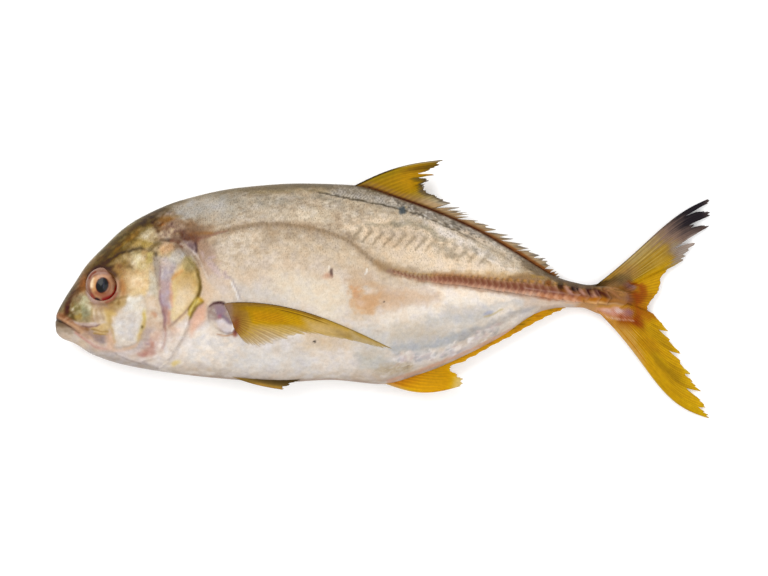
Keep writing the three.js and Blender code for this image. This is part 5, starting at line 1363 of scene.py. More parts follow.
def paint_tail(p, ray, reach, share):
    """Yellow, with a smoky upper tip. In all fins, ray counts the drawn rays, reach runs along
    them in full lengths, and share from the root to the torn edge."""
    p.colour[:] = tone("#c49204")
    upper, lower = fade(6.4, 7.6, ray), smooth(6.4, 7.6, ray)
    along = reach + 0.04 * mottle(p.x, p.y, 4, 41) + 0.05 * mottle(ray * 9, reach * 4, 1, 42)
    # upper lobe: olive gold and pale rays, yellow inside, smoky black tips
    p.fill("#a88538", upper * fade(3, 4.6, ray))
    p.fill("#c6960c", upper * smooth(3.2, 4.6, ray))
    p.fill("#ad9668", upper * fade(0.3, 2, ray) * smooth(0.12, 0.3, reach), 0.85)
    p.fill("#a07a40", upper * fade(0.16, 0.34, reach) * fade(3, 5, ray), 0.6)
    p.fill("#cdb477", upper * rays_of(ray + 0.2, 2) * smooth(0.14, 0.26, reach)
           * fade(0.5, 0.7, reach) * fade(3.4, 4.6, ray), 0.55)
    p.fill("#86662a", upper * rays_of(ray + 0.45, 2, 0.2) * smooth(0.14, 0.3, reach)
           * fade(0.5, 0.7, reach) * fade(3.4, 4.6, ray), 0.4)
    dark_from = np.interp(ray, [0, 1, 2, 3, 3.6, 4, 5, 6], [0.56, 0.58, 0.66, 0.74, 0.82, 0.96, 1.4, 1.5])
    p.fill("#8a7264", upper * smooth(-0.12, 0.04, along - dark_from))
    p.fill("#6a5a54", upper * smooth(0.02, 0.16, along - dark_from) * fade(2.2, 3, ray))
    p.fill("#302e32", upper * smooth(0.1, 0.26, along - dark_from) * fade(1.2, 2.4, ray), 0.9)
    p.fill("#a8988f", upper * bell(ray - 3, 0.62) * smooth(0.76, 0.9, along))
    p.fill("#b9a9a0", upper * bell(ray - 2.35, 0.16) * smooth(0.74, 0.84, along), 0.8)
    p.fill("#5a4b48", upper * bell(ray - 2, 0.2) * smooth(0.86, 0.95, along), 0.8)
    p.fill("#9c8c7c", upper * bell(ray - 3.8, 0.7) * smooth(0.7, 0.86, along), 0.9)
    p.fill("#7a6860", upper * smooth(0.92, 1, reach) * fade(0.6, 2.4, ray), 0.7)
    p.fill("#6b5a40", fade(0.04, 0.2, ray) * fade(0.5, 0.8, reach), 0.8)
    # lower lobe: tan with pale rays at its outer root, then yellow with olive streaks
    p.fill("#c8963a", lower * fade(0.3, 0.62, reach) * smooth(9.4, 12, ray))
    p.fill("#d2a45c", lower * fade(0.36, 0.6, reach) * smooth(12, 13.4, ray)
           * smooth(0.1, 0.2, reach), 0.8)
    p.fill("#e2c088", lower * rays_of(ray, 2) * smooth(9.6, 11, ray) * smooth(0.08, 0.2, reach)
           * fade(0.34, 0.6, reach), 0.6)
    p.fill("#a07004", lower * bell(ray - 9.6, 1.1) * bell(reach - 0.42, 0.25), 0.8)
    p.fill("#c99a06", lower * smooth(0.4, 0.62, reach))
    p.fill("#9c7802", lower * bell(ray - 11.6 - 0.6 * (reach - 0.7), 0.6) * smooth(0.42, 0.6, reach)
           * fade(0.84, 0.97, reach), 0.7)
    p.fill("#8e6c04", lower * smooth(0.1, 0.7, mottle(ray * 5, reach * 14, 1, 57))
           * smooth(0.3, 0.6, reach), 0.3)
    p.fill("#dcb42c", lower * smooth(0.1, 0.7, mottle(ray * 5, reach * 14, 1, 58))
           * smooth(0.3, 0.6, reach), 0.3)
    p.fill("#a47e04", lower * bell(ray - 9.7, 0.4) * smooth(0.45, 0.65, reach)
           * fade(0.85, 1, reach), 0.5)
    p.fill("#94700a", lower * rays_of(ray, 1, 0.2) * smooth(0.5, 0.8, reach), 0.3)
    p.fill("#d2a614", lower * smooth(0.84, 0.96, reach), 0.7)
    p.fill("#d9cda6", lower * bell(ray - 10.9, 0.3) * smooth(0.9, 0.98, reach), 0.5)
    p.fill("#d8bf8c", lower * smooth(13.7, 13.95, ray) * smooth(0.2, 0.45, reach)
           * fade(0.7, 0.9, reach), 0.8)
    p.fill("#d2a828", lower * smooth(12.6, 13.4, ray) * smooth(0.7, 0.9, reach), 0.6)
    p.fill("#b9781c", lower * bell(ray - 13.2, 0.25) * smooth(0.1, 0.2, reach)
           * fade(0.3, 0.6, reach), 0.6)
    paint_keel(p)
    paint_tail_root(p)
    p.area("#a9660c", 0.65, 2, [(357, -9), (366, -12), (370, -18), (362, -18), (356, -14)], ragged=0.8)
    p.area("#ac7800", 0.5, 2.4, [(356, -28), (366, -30), (372, -38), (364, -38), (356, -33)], ragged=0.8)
    p.area("#c29c44", 0.5, 2, [(366, 20), (376, 20), (376, 13), (366, 12)], ragged=0.8)
    p.area("#a49a90", 0.5, 2, [(376, 30), (386, 30), (386, 22), (376, 22)], ragged=0.8)
    p.area("#985e18", 0.45, 2, [(357, -1), (366, -2), (367, -7), (357, -7)], ragged=0.8)


def paint_tail_root(p):
    """Where the fan of the tail springs from the flesh: painted alike on skin and fin."""
    p.area("#bd8444", 0.8, 2.4, [
        (322, -6), (334, -7), (352, -8), (352, -24), (340, -22), (328, -14), (318, -11)], ragged=0.6)
    p.area("#d09648", 0.85, 1.6, [(330, -9.6), (338, -10.6), (344, -15), (344, -22), (332, -15)], ragged=0.6)
    p.area("#58422a", 0.85, 1.6, [
        (300, 11), (312, 7.5), (322, 5), (330, 5), (338, 6), (342, 8), (342, 4), (336, 1.6), (322, 1.4),
        (312, 3.4), (302, 7)], ragged=0.8)
    p.area("#3a3222", 0.6, 1, [
        (302, 11), (322, 5), (338, 6), (344, 7), (338, 3.6), (322, 3), (306, 8)], flecks=(2, 45, 0),
        ragged=0.6)
    p.area("#94724c", 0.75, 2.4, [
        (338, 5), (346, 6.4), (352, 6), (354, 2), (346, 1.6), (338, 2)], ragged=0.8)
    p.area("#a8824e", 0.6, 2.6, [(343, 11), (350, 16), (357, 15), (357, 9), (350, 8)], ragged=0.8)
    p.area("#85592a", 0.9, 1.8, [(334, 1), (345, 2), (355, 0), (357, -8), (346, -9), (334, -8)], ragged=0.6)
    p.band("#4d2c0e", 0.9, (0.7, 1.2), [(329, 1), (334, -1.6), (338.6, -4.4)], soft=0.7, relief=-0.3)
    p.band("#6b3e12", 0.9, (0.7, 1.4), [(334, 1), (339, -1.6), (345, -5)], soft=0.7, relief=-0.3)
    p.band("#a9744c", 0.65, (0.6, 0.8), [(335.4, 0.8), (340, -1.2), (345.6, -5.2)], soft=0.8, relief=0.3)
    p.band("#b5854a", 0.6, 0.6, [(339, 1.2), (345, -0.8), (353, -2.6)], soft=0.8)
    p.band("#55400f", 0.7, (0.3, 0.7), [(341, 0.8), (347, -0.6), (352, -1.2)], soft=1, ragged=0.4)
    p.band("#ab7a34", 0.7, 0.8, [(345, -2.4), (350, -3.2), (356, -3.2)], soft=0.8, ragged=0.4)
    p.band("#a5661e", 0.85, (0.9, 1.2), [
        (327, -5.4), (337, -5.8), (346, -6.6), (352, -7.8)], soft=0.8, ragged=0.4)
    p.band("#d2a26c", 0.6, 0.7, [(328, -7.8), (338, -8), (346, -8.6)], soft=0.8, ragged=0.4)
    p.band("#c08834", 0.7, 0.8, [(332, -9.6), (342, -9.8), (350, -9.8)], ragged=0.4)
    p.area("#cf9488", 0.85, 2, [
        (331, -10.8), (340, -11), (352, -12), (353, -16), (347, -16.8), (337, -15.4), (332, -12.8)],
        ragged=0.8)
    p.blot("#e0bcae", 0.7, 337, -12.4, 3, 1.1, turn=-12, ragged=0.6)
    p.blot("#e0c4be", 0.8, 344.4, -12.6, 2.6, 1.3, turn=-8, ragged=0.6)
    p.blot("#c27870", 0.7, 349, -16.6, 5, 1.3, turn=-10, ragged=0.6)
    p.blot("#94666a", 0.85, 351, -14, 3.2, 2.6, soft=0.9, ragged=0.8)
    p.blot("#8a6a60", 0.85, 351.6, 3, 4, 2.6, turn=-14, soft=0.9, ragged=0.9)
    p.blot("#957a84", 0.7, 352.6, 2.4, 2.4, 1.6, turn=-20, soft=0.9, ragged=0.7)
    p.blot("#7f5c50", 0.8, 352, -5, 3.2, 2.4, soft=0.9, ragged=0.8)
    p.area("#7c4c44", 0.5, 2, [
        (346, 4.6), (352, 4.4), (355, -2), (355, -9), (350, -10), (348, -3)], ragged=0.8)
    p.area("#a8701a", 0.4, 2, [(358, -8), (364, -10), (366, -16), (359, -18)], ragged=0.8)
    p.area("#9c7049", 0.4, 2, [(337, 3), (346, 3), (350, 0), (350, -8), (342, -9), (337, -4)], ragged=0.8)
    for hue, strength, wide in (("#95520c", 0.4, 2.8), ("#8a3c24", 0.55, 1.6)):
        p.band(hue, strength, (0.3 * wide, 1.4 * wide), [
            (350, 6), (355, 4.4), (358.4, 1), (359, -4)], soft=1, ragged=1.2)
        p.band(hue, strength, 1.3 * wide, [(356, -3), (357, -7)], soft=1, ragged=0.9)
        p.band(hue, strength, (1.2 * wide, 1.3 * wide), [
            (355.4, -11), (357, -15), (355, -18.6)], soft=1, ragged=1.2)
        p.band(hue, 0.9 * strength, wide, [(346, -17.8), (351, -18.8), (357, -20.4)], soft=1, ragged=0.9)
    for i in range(11):
        p.blot("#ecc8bc", 0.7, 337 + 1.6 * i, -16.4 - 0.2 * i, 0.6, 0.5, soft=0.8, ragged=0.3)


def paint_dorsal(p, ray, reach, share):
    """Olive yellow in front, low and greyish brown behind, over a dark line at its root."""
    above = p.y - back_at(p.x)
    p.colour[:] = tone("#a57f22")
    p.fill("#bd8c10", bell(ray - 1.5, 1.4) * smooth(0.4, 0.75, share))
    p.fill("#8d7a1c", fade(0.2, 1, ray) * fade(0.4, 0.8, share), 0.6)
    p.fill("#9a8350", smooth(2.4, 4.2, ray))
    p.fill("#b9ae9e", smooth(3.5, 5, ray) * smooth(1.5, 3.8, above))
    p.fill("#b0936f", smooth(4.6, 6, ray) * fade(2, 3.4, above), 0.8)
    streaks = (0.5 + 0.5 * np.sin(2 * np.pi * 3 * ray + mottle(p.x, p.y, 3, 55))) * (
        0.55 + 0.45 * mottle(ray * 6, reach * 3, 1, 56))
    p.fill("#946f50", fade(2, 6.5, above) * fade(5, 6, ray) * (0.5 + 0.5 * streaks), 0.8)
    p.fill("#b99a72", smooth(3.6, 4.6, ray) * smooth(1.4, 2.6, above) * fade(4.4, 6.4, above), 0.8)
    p.fill("#5e4a1c", streaks ** 3 * smooth(0.4, 1, share) * bell(ray - 2.6, 2), 0.55)
    along = share + 0.08 * mottle(p.x, p.y, 2.4, 51)
    p.fill("#5a4f44", smooth(0.74, 0.95, along) * fade(4, 5.4, ray) * smooth(0.9, 1.5, ray), 0.85)
    p.fill("#5f574e", smooth(0.4, 0.9, along) * smooth(4.2, 5.4, ray) * (0.15 + 0.85 * streaks), 0.9)
    p.fill("#6a4f14", bell(ray - 0.5, 0.2) * smooth(0.5, 0.8, share), 0.8)
    p.fill("#6b5636", fade(0.7, 1, ray) * smooth(0.72, 0.95, reach), 0.75)
    p.fill("#3b3020", fade(0.05, 0.3, ray) * fade(0.4, 0.6, reach), 0.9)
    p.fill("#b5ac9e", fade(0.1, 0.26, ray) * smooth(0.45, 0.6, reach), 0.6)
    p.fill("#6a6058", fade(0.03, 0.1, ray) * smooth(0.45, 0.6, reach), 0.7)
    paint_dorsal_line(p)


def paint_anal(p, ray, reach, share):
    """Bright yellow with dusky streaks behind."""
    p.colour[:] = tone("#d99e04")
    p.fill("#c98c06", bell(ray - 2.4, 1.3) * fade(0.3, 0.9, share))
    p.fill("#d0940c", smooth(3.4, 4.6, ray))
    streaks = 0.5 + 0.5 * np.sin(2 * np.pi * 3 * ray)
    p.fill("#b8743c", fade(0.1, 0.4, share), 0.8)
    p.fill("#7a6210", bell(share - 0.5, 0.2) * smooth(3.2, 4.4, ray) * (0.2 + 0.8 * streaks)
           * smooth(-0.4, 0.5, mottle(p.x, p.y, 3.4, 52)), 0.85)
    p.fill("#b8722c", smooth(3.2, 4.4, ray) * smooth(0.2, 0.8, mottle(p.x, p.y, 2.6, 53)), 0.5)
    p.fill("#a8860e", bell(share - 0.6, 0.3) * bell(ray - 2, 1) * streaks, 0.5)
    p.fill("#e3b84e", smooth(0.85, 1, share), 0.6)
    p.fill("#e2cc96", smooth(0.74, 0.94, reach) * fade(1, 2, ray), 0.75)
    p.fill("#d8c08a", fade(0, 0.5, ray) * fade(0.2, 0.6, reach), 0.7)


def paint_pectoral(p, ray, reach, share):
    """Yellow above with a brown upper edge, fanned out pale and frayed below."""
    p.colour[:] = tone("#b8913a")
    fine = 0.5 + 0.5 * np.cos(2 * np.pi * 3 * ray)
    p.area("#c59003", 0.98, 3, [
        (119, -12), (132, -12.4), (146, -15.4), (160, -20.6), (158, -22.6), (146, -22), (134, -19.6),
        (122, -19)], ragged=0.6)
    p.area("#b58a1c", 0.8, 1.4, [
        (112, -9.6), (130, -9.6), (146, -13), (158, -17), (158, -19), (142, -14), (126, -11.6),
        (112, -12.6)], ragged=0.4)
    p.area("#96703a", 0.85, 4, [(103, -8), (113, -9), (118, -14), (118, -22), (113, -26), (108, -20)])
    p.area("#c8a24c", 0.9, 2, [(120, -21), (136, -21.6), (152, -21), (158, -27.6), (136, -30), (118, -26)])
    p.area("#d0a540", 0.6, 4, [(138, -13), (156, -18), (166, -23), (164, -26), (144, -23)])
    p.area("#dcbd84", 0.9, 4, [(152, -17), (168, -20.6), (180, -25), (176, -30), (156, -26.6)])
    p.band("#886636", 0.85, (2.4, 0.8), [(104, -8), (118, -7.6), (134, -8.6), (150, -12.2), (162, -16.6)])
    p.area("#ae9260", 0.7, 2.6, [(171, -24), (180, -26.6), (181, -30), (172, -29)], ragged=0.6)
    p.area("#c9b288", 0.9, 2.4, [(180, -25), (208, -36), (206, -38.6), (181, -32)])
    fan = smooth(4, 5, ray) * smooth(0.34, 0.8, reach)
    p.fill("#ccb48e", fan)
    p.fill("#c9ab6c", smooth(3, 3.8, ray) * fade(4.2, 5, ray) * smooth(0.6, 0.9, share))
    strands = fine * (0.5 + 0.5 * smooth(-0.6, 0.6, mottle(ray * 9, reach * 3, 1, 54)))
    p.fill("#a08058", smooth(4.2, 5, ray) * smooth(0.12, 0.4, reach) * strands
           * (1 - 0.8 * smooth(0.6, 1, share)), 0.7)
    p.fill("#b39048", strands * smooth(0.4, 0.7, reach) * bell(ray - 3.4, 1.1), 0.5)
    p.fill("#8a6210", (1 - fine) ** 3 * smooth(0.2, 0.4, reach) * fade(0.5, 0.7, reach)
           * fade(3, 4, ray), 0.35)
    p.fill("#5c4c30", fade(0.04, 0.3, ray) * fade(0.45, 0.8, reach), 0.85)
    p.fill("#6a4c14", bell(ray - 0.85, 0.1) * smooth(0.28, 0.36, reach) * fade(0.56, 0.66, reach),
           0.7)
    p.fill("#8f7c50", fade(0.1, 0.4, ray) * smooth(0.5, 0.7, reach), 0.5)
    p.fill("#d9c9b4", smooth(0.9, 1, share) * smooth(1, 3, ray), 0.5)
    p.fill("#d9ccbe", smooth(0.84, 1, share) * smooth(4, 5, ray), 0.7)
    p.area("#94786a", 0.9, 3, [
        (101, -6), (108, -7), (109, -13), (109, -19), (105, -20), (101, -12)], ragged=0.8)
    # the lobe's painted shadow, where it falls on the fin's root
    p.blot("#7d4038", 0.6, 110.6, -21, 2.4, 4.4, soft=1, ragged=0.8)


def paint_pelvic(p, ray, reach, share):
    """Tan, pale at the root and dusky towards its tips."""
    p.colour[:] = tone("#8f7340")
    p.fill("#5a4a33", bell(ray - 1.6, 0.9) * smooth(0.2, 0.5, reach))
    p.fill("#b48d48", fade(0.3, 0.9, ray) * smooth(0.3, 0.6, reach))
    p.fill("#c9b394", fade(0.02, 0.2, reach))
    p.fill("#3f3830", bell(reach - 0.9, 0.14) * smooth(1.5, 2.4, ray), 0.8)


# ---------- Eyes ----------


def paint_eye(p):
    """Copper and gold iris with a blood-shot lower edge, round a dark upright pupil."""
    out = np.hypot((p.x - 30) / 8.55, (p.y - 2.5) / 8.8)
    p.colour[:] = tone("#94705e")
    p.fill("#b08462", bell(out - 0.66, 0.2), 0.9)
    p.band("#d09a66", 0.85, 1.8, [(25.2, 7.6), (24.4, 4.6), (24.8, 0.6), (26.4, -2)], ragged=0.2)
    # a painted highlight on the left of the iris
    p.band("#fbe2be", 0.95, (1, 1.3), [(23.6, 7.6), (22.7, 5.2), (22.6, 2.6)], ragged=0.2)
    p.band("#c99a7c", 0.8, 1.1, [(26.6, 8.4), (29.5, 9.2), (33, 8.2)], ragged=0.2)
    p.band("#a07866", 0.7, 0.6, [(25, 10), (29.5, 10.5), (34, 9.2)], ragged=0.1)
    # a painted highlight over the top of the iris
    p.band("#c9a79c", 0.8, 0.4, [(26, 10.7), (28.5, 11.1), (31, 10.9)], soft=0.6, ragged=0.1)
    p.band("#a67a5c", 0.85, 1.7, [(34.6, 8), (35.8, 4), (34.6, -1)], ragged=0.2)
    p.band("#dba98c", 0.6, 0.6, [(36.4, 7), (37, 4), (36.6, 1)], ragged=0.1)
    p.band("#98604a", 0.9, 1.4, [(26, -1.4), (29.5, -3), (33, -1.8)], ragged=0.2)
    p.fill("#8e5a3c", bell(out - 0.49, 0.06), 0.8)
    p.fill("#7c4c3c", bell(out - 1.0, 0.08), 0.6)
    p.band("#6b4634", 0.7, 1.1, [(35.6, 8), (37.2, 4.6), (37, 1)], ragged=0.2)
    p.band("#a98a7c", 0.7, 0.7, [(22, 8), (24.4, 10.2), (28, 11), (32, 10.6)], ragged=0.2)
    p.band("#7a3c2c", 0.85, 0.6, [(21.4, 7.6), (22.8, 10), (25, 11.4)], soft=0.8, ragged=0.1)
    p.band("#8c2a28", 0.95, (0.6, 1.3), [
        (38.2, 3.6), (37.6, 0), (35.6, -3.4), (30.5, -5.6)], soft=0.8, ragged=0.15)
    p.band("#c9787c", 0.7, 0.35, [(38.6, 0.6), (37.2, -2.8), (34.4, -5.4), (31, -6.5)], soft=0.6, ragged=0.1)
    p.blot("#33141c", 0.95, 26.4, -5.6, 1.8, 0.8, turn=-24, soft=0.6, ragged=0.2)
    p.blot("#96463a", 0.85, 23.4, -3.4, 1, 2, turn=30, soft=0.7, ragged=0.2)
    pupil = np.hypot((p.x - 29.4 - 0.1 * (p.y - 3.2)) / 3.7, (p.y - 3.2) / 4.5)
    p.fill("#4a2a1c", fade(0.98, 1.14, pupil))
    p.fill("#15171f", fade(0.84, 0.98, pupil))
    p.fill("#2a2f3a", fade(0.1, 0.7, pupil), 0.7)
    # a painted reflection in the pupil
    p.band("#77727a", 0.4, 0.4, [(30.6, 6), (30.4, 3.8), (30, 1.6)], soft=1, ragged=0.1)


EYE_RINGS, EYE_SEGMENTS = 60, 120
CORNEA_BULGE = 0.5  # mm over the ball
CORNEA_REACH = 4.6  # mm from the eye's middle, where the bulge ends
EYE_OVER_TABLE = 0.02  # mm


def eye(name, up):
    """One eyeball, round and closed, with its iris painted on the side that faces out."""
    angle = np.linspace(0, np.pi, EYE_RINGS + 1)[1:-1]
    turn = np.linspace(0, 2 * np.pi, EYE_SEGMENTS, endpoint=False)
    angle, turn = np.meshgrid(angle, turn, indexing="ij")
    x = EYE["across"] * np.sin(angle) * np.cos(turn)
    y = EYE["high"] * np.sin(angle) * np.sin(turn)
    z = EYE["deep"] * np.cos(angle)
    bulge = CORNEA_BULGE * fade(0, CORNEA_REACH, np.hypot(x, y / 1.2)) * (z > 0)
    points = np.stack([x, y, z + bulge], 2).reshape(-1, 3)
    points = np.concatenate([points, [[0, 0, EYE["deep"] + CORNEA_BULGE], [0, 0, -EYE["deep"]]]])
    p = Coat(points[:, 0] + EYE["x"], points[:, 1] + EYE["y"], np.ones(len(points)),
             np.zeros((len(points), 3)))
    paint_eye(p)
    middle = middle_plane(EYE["x"])
    off = float(flank(EYE["x"], EYE["y"])) - EYE["sunk"]
    points = points * [1, 1, up] + [EYE["x"], EYE["y"], middle + up * off]
    points[:, 2] = np.maximum(points[:, 2], EYE_OVER_TABLE)
    faces = tube_faces(EYE_RINGS - 1, EYE_SEGMENTS)
    return piece(name, points, faces, p.colour, haze=CORNEA_HAZE)


# ---------- Finishes ----------


def node(tree, kind, inputs=None, stops=None, **settings):
    """Adds a node with its settings; inputs are values or other nodes' outputs."""
    made = tree.nodes.new(kind)
    for key, value in settings.items():
        setattr(made, key, value)
    for place, hue in stops or []:
        ends = made.color_ramp.elements
        element = ends[0] if place == stops[0][0] else ends.new(place)
        element.position, element.color = place, (*hue, 1)
    if stops:
        made.color_ramp.elements.remove(made.color_ramp.elements[-1])
    for key, value in (inputs or {}).items():
        if isinstance(value, bpy.types.NodeSocket):
            tree.links.new(value, made.inputs[key])
        else:
            made.inputs[key].default_value = value
    return made


def finish_of(name, **sockets):
    """A new material with its shader's own sockets set; returns it, its tree and its shader."""
    material = bpy.data.materials.new(name)
    material.use_nodes = True
    shader = material.node_tree.nodes["Principled BSDF"]
    for key, value in sockets.items():
        shader.inputs[key.replace("_", " ")].default_value = value
    return material, material.node_tree, shader


SLIME_IOR = 1.34  # the watery film over skin, fins and scutes
CORNEA_IOR = 1.376
SCALE_LENGTH = 1.5  # mm; the small smooth scales of the flank
PIGMENT_SPACING = 1.1  # mm between dark pigment cells


def skin_finish():
    """Raw skin under a thin film of slime: small silvered scales break the light into grains,
    dark pigment cells pepper the back, and the wet film gives a broad soft gloss."""
    material, tree, shader = finish_of(
        "raw_scaled_skin", Roughness=0.45, Specular_IOR_Level=0.14, Coat_Weight=0.06,
        Coat_Roughness=0.2, Coat_IOR=SLIME_IOR)
    place = node(tree, "ShaderNodeTexCoord").outputs["Object"]
    paint = node(tree, "ShaderNodeAttribute", attribute_name="Paint").outputs["Color"]
    pepper = node(tree, "ShaderNodeAttribute", attribute_name="Pepper").outputs["Fac"]
    scaly = node(tree, "ShaderNodeAttribute", attribute_name="Scaly").outputs["Fac"]
    laid = node(tree, "ShaderNodeMapping", {"Vector": place, "Scale": (0.75, 1, 0.6)}).outputs[0]
    scales = node(tree, "ShaderNodeTexVoronoi", {"Vector": laid, "Scale": 1 / (SCALE_LENGTH * MM)})
    grain = node(tree, "ShaderNodeTexNoise", {"Vector": place, "Scale": 1 / (1.8 * MM), "Detail": 4.0,
                                              "Roughness": 0.75})
    shade = node(tree, "ShaderNodeSeparateColor", {"Color": scales.outputs["Color"]})
    uneven = node(tree, "ShaderNodeMapRange", {"Value": shade.outputs[0], "To Min": -0.035, "To Max": 0.035})
    lumpy = node(tree, "ShaderNodeMapRange", {"Value": grain.outputs["Fac"], "From Min": 0.3,
                                              "From Max": 0.7, "To Min": 0.91, "To Max": 1.09})
    bright = node(tree, "ShaderNodeMath", {0: uneven.outputs[0], 1: scaly, 2: lumpy.outputs[0]},
                  operation="MULTIPLY_ADD")
    stretched = node(tree, "ShaderNodeMapping", {"Vector": place, "Scale": (1.9, 0.8, 1)}).outputs[0]
    hairs = node(tree, "ShaderNodeTexNoise", {"Vector": stretched, "Scale": 1 / (1.1 * MM), "Detail": 2.0})
    streak = node(tree, "ShaderNodeMapRange", {"Value": hairs.outputs["Fac"], "From Min": 0.42,
                                               "From Max": 0.66, "To Min": 0.1, "To Max": -0.22})
    combed = node(tree, "ShaderNodeMath", {0: streak.outputs[0], 1: pepper, 2: bright.outputs[0]},
                  operation="MULTIPLY_ADD")
    lit = node(tree, "ShaderNodeVectorMath", {0: paint, "Scale": combed.outputs[0]}, operation="SCALE")
    drift = node(tree, "ShaderNodeTexNoise", {"Vector": place, "Scale": 1 / (6 * MM), "Detail": 2.0})
    cast = node(tree, "ShaderNodeValToRGB", {"Fac": drift.outputs["Fac"]},
                stops=[(0.35, linear("#fbfbff")), (0.5, linear("#fffdfa")), (0.65, linear("#fff8f0"))])
    tinted = node(tree, "ShaderNodeMix", {"Factor": 1.0, 6: lit.outputs[0], 7: cast.outputs[0]},
                  data_type="RGBA", blend_type="MULTIPLY")
    cells = node(tree, "ShaderNodeTexVoronoi", {"Vector": place, "Scale": 1 / (PIGMENT_SPACING * MM)})
    cell = node(tree, "ShaderNodeSeparateColor", {"Color": cells.outputs["Color"]})
    spread = node(tree, "ShaderNodeMath", {0: cell.outputs[1], 1: 0.42}, operation="MULTIPLY")
    dot = node(tree, "ShaderNodeMath", {0: spread.outputs[0], 1: cells.outputs["Distance"]},
               operation="SUBTRACT")
    dark = node(tree, "ShaderNodeMapRange", {"Value": dot.outputs[0], "From Min": -0.05,
                                             "From Max": 0.15, "To Min": 0.0, "To Max": 0.45})
    pigment = node(tree, "ShaderNodeMath", {0: dark.outputs[0], 1: pepper}, operation="MULTIPLY")
    coloured = node(tree, "ShaderNodeMix", {"Factor": pigment.outputs[0], 6: tinted.outputs[2],
                                            7: (*albedo("#54452f"), 1)}, data_type="RGBA")
    tree.links.new(coloured.outputs[2], shader.inputs["Base Color"])
    height = node(tree, "ShaderNodeMath", {0: scales.outputs["Distance"], 1: scaly}, operation="MULTIPLY")
    rough = node(tree, "ShaderNodeMath", {0: grain.outputs["Fac"], 1: height.outputs[0]},
                 operation="SUBTRACT")
    bump = node(tree, "ShaderNodeBump", {"Height": rough.outputs[0], "Distance": 0.12 * MM,
                                         "Strength": 0.8})
    tree.links.new(bump.outputs[0], shader.inputs["Normal"])
    return material


RAY_SEGMENT = 0.9  # mm; the joints along a ray


def fin_finish():
    """A thin wet membrane over jointed rays, each ray a fine ridge, darkened between the rays as painted
    shade.
    """
    material, tree, shader = finish_of(
        "fin_membrane_over_rays", Roughness=0.5, Specular_IOR_Level=0.05, Coat_Weight=0.03,
        Coat_Roughness=0.25, Coat_IOR=SLIME_IOR)
    paint = node(tree, "ShaderNodeAttribute", attribute_name="Paint").outputs["Color"]
    ray = node(tree, "ShaderNodeAttribute", attribute_name="Ray").outputs["Fac"]
    forks = node(tree, "ShaderNodeAttribute", attribute_name="Forks").outputs["Fac"]
    along = node(tree, "ShaderNodeAttribute", attribute_name="Along").outputs["Fac"]
    place = node(tree, "ShaderNodeTexCoord").outputs["Object"]
    ridges = []
    for turns in (2, 4):
        angle = node(tree, "ShaderNodeMath", {0: ray, 1: turns * np.pi}, operation="MULTIPLY")
        ridges.append(node(tree, "ShaderNodeMath", {0: angle.outputs[0]}, operation="COSINE"))
    ridge = node(tree, "ShaderNodeMix", {"Factor": forks, 2: ridges[0].outputs[0],
                                         3: ridges[1].outputs[0]}, data_type="FLOAT")
    joint = node(tree, "ShaderNodeMath", {0: along, 1: 2 * np.pi / RAY_SEGMENT}, operation="MULTIPLY")
    jointed = node(tree, "ShaderNodeMath", {0: joint.outputs[0]}, operation="SINE")
    on_ridge = node(tree, "ShaderNodeMapRange", {"Value": ridge.outputs[0], "From Min": 0.0,
                                                 "From Max": 1.0, "To Min": 0.0, "To Max": 0.05})
    # painted shade: darker in the troughs between the rays, lighter on them
    trough_shade = node(tree, "ShaderNodeMapRange", {"Value": ridge.outputs[0], "From Min": -1.0,
                                                "From Max": 1.0, "To Min": 0.86, "To Max": 1.1})
    shade = node(tree, "ShaderNodeMath", {0: jointed.outputs[0], 1: on_ridge.outputs[0],
                                          2: trough_shade.outputs[0]}, operation="MULTIPLY_ADD")
    grain = node(tree, "ShaderNodeTexNoise", {"Vector": place, "Scale": 1 / (2 * MM), "Detail": 3.0})
    uneven = node(tree, "ShaderNodeMapRange", {"Value": grain.outputs["Fac"], "From Min": 0.3,
                                               "From Max": 0.7, "To Min": 0.92, "To Max": 1.08})
    both = node(tree, "ShaderNodeMath", {0: shade.outputs[0], 1: uneven.outputs[0]}, operation="MULTIPLY")
    lit = node(tree, "ShaderNodeVectorMath", {0: paint, "Scale": both.outputs[0]}, operation="SCALE")
    tree.links.new(lit.outputs[0], shader.inputs["Base Color"])
    bump = node(tree, "ShaderNodeBump", {"Height": ridge.outputs[0], "Distance": 0.1 * MM,
                                         "Strength": 0.7})
    tree.links.new(bump.outputs[0], shader.inputs["Normal"])
    return material


def scute_finish():
    """Bony keeled scales under thin skin: the flesh's own reddish browns show through, each
    scale's spined rear edge is paler, and the dip in front of it is darkened as painted shade."""
    material, tree, shader = finish_of(
        "bony_scute", Roughness=0.42, Specular_IOR_Level=0.08, Coat_Weight=0.03,
        Coat_Roughness=0.2, Coat_IOR=SLIME_IOR)
    place = node(tree, "ShaderNodeTexCoord").outputs["Object"]
    paint = node(tree, "ShaderNodeAttribute", attribute_name="Paint").outputs["Color"]
    along = node(tree, "ShaderNodeAttribute", attribute_name="Along").outputs["Fac"]
    rim = node(tree, "ShaderNodeMapRange", {"Value": along, "From Min": 0.72, "From Max": 0.98,
                                            "To Min": 0.0, "To Max": 0.22})
    edged = node(tree, "ShaderNodeMix", {"Factor": rim.outputs[0], 6: paint,
                                         7: (*albedo("#bb9078"), 1)}, data_type="RGBA")
    # painted shade: darker towards the front of each scute, where it dips
    dip_shade = node(tree, "ShaderNodeMapRange", {"Value": along, "From Min": 0.0, "From Max": 0.4,
                                            "To Min": 0.78, "To Max": 1.04})
    grain = node(tree, "ShaderNodeTexNoise", {"Vector": place, "Scale": 1 / (0.8 * MM), "Detail": 2.0})
    shaded = node(tree, "ShaderNodeVectorMath", {0: edged.outputs[2], "Scale": dip_shade.outputs[0]},
                  operation="SCALE")
    tree.links.new(shaded.outputs[0], shader.inputs["Base Color"])
    bump = node(tree, "ShaderNodeBump", {"Height": grain.outputs["Fac"], "Distance": 0.08 * MM,
                                         "Strength": 0.6})
    tree.links.new(bump.outputs[0], shader.inputs["Normal"])
    return material


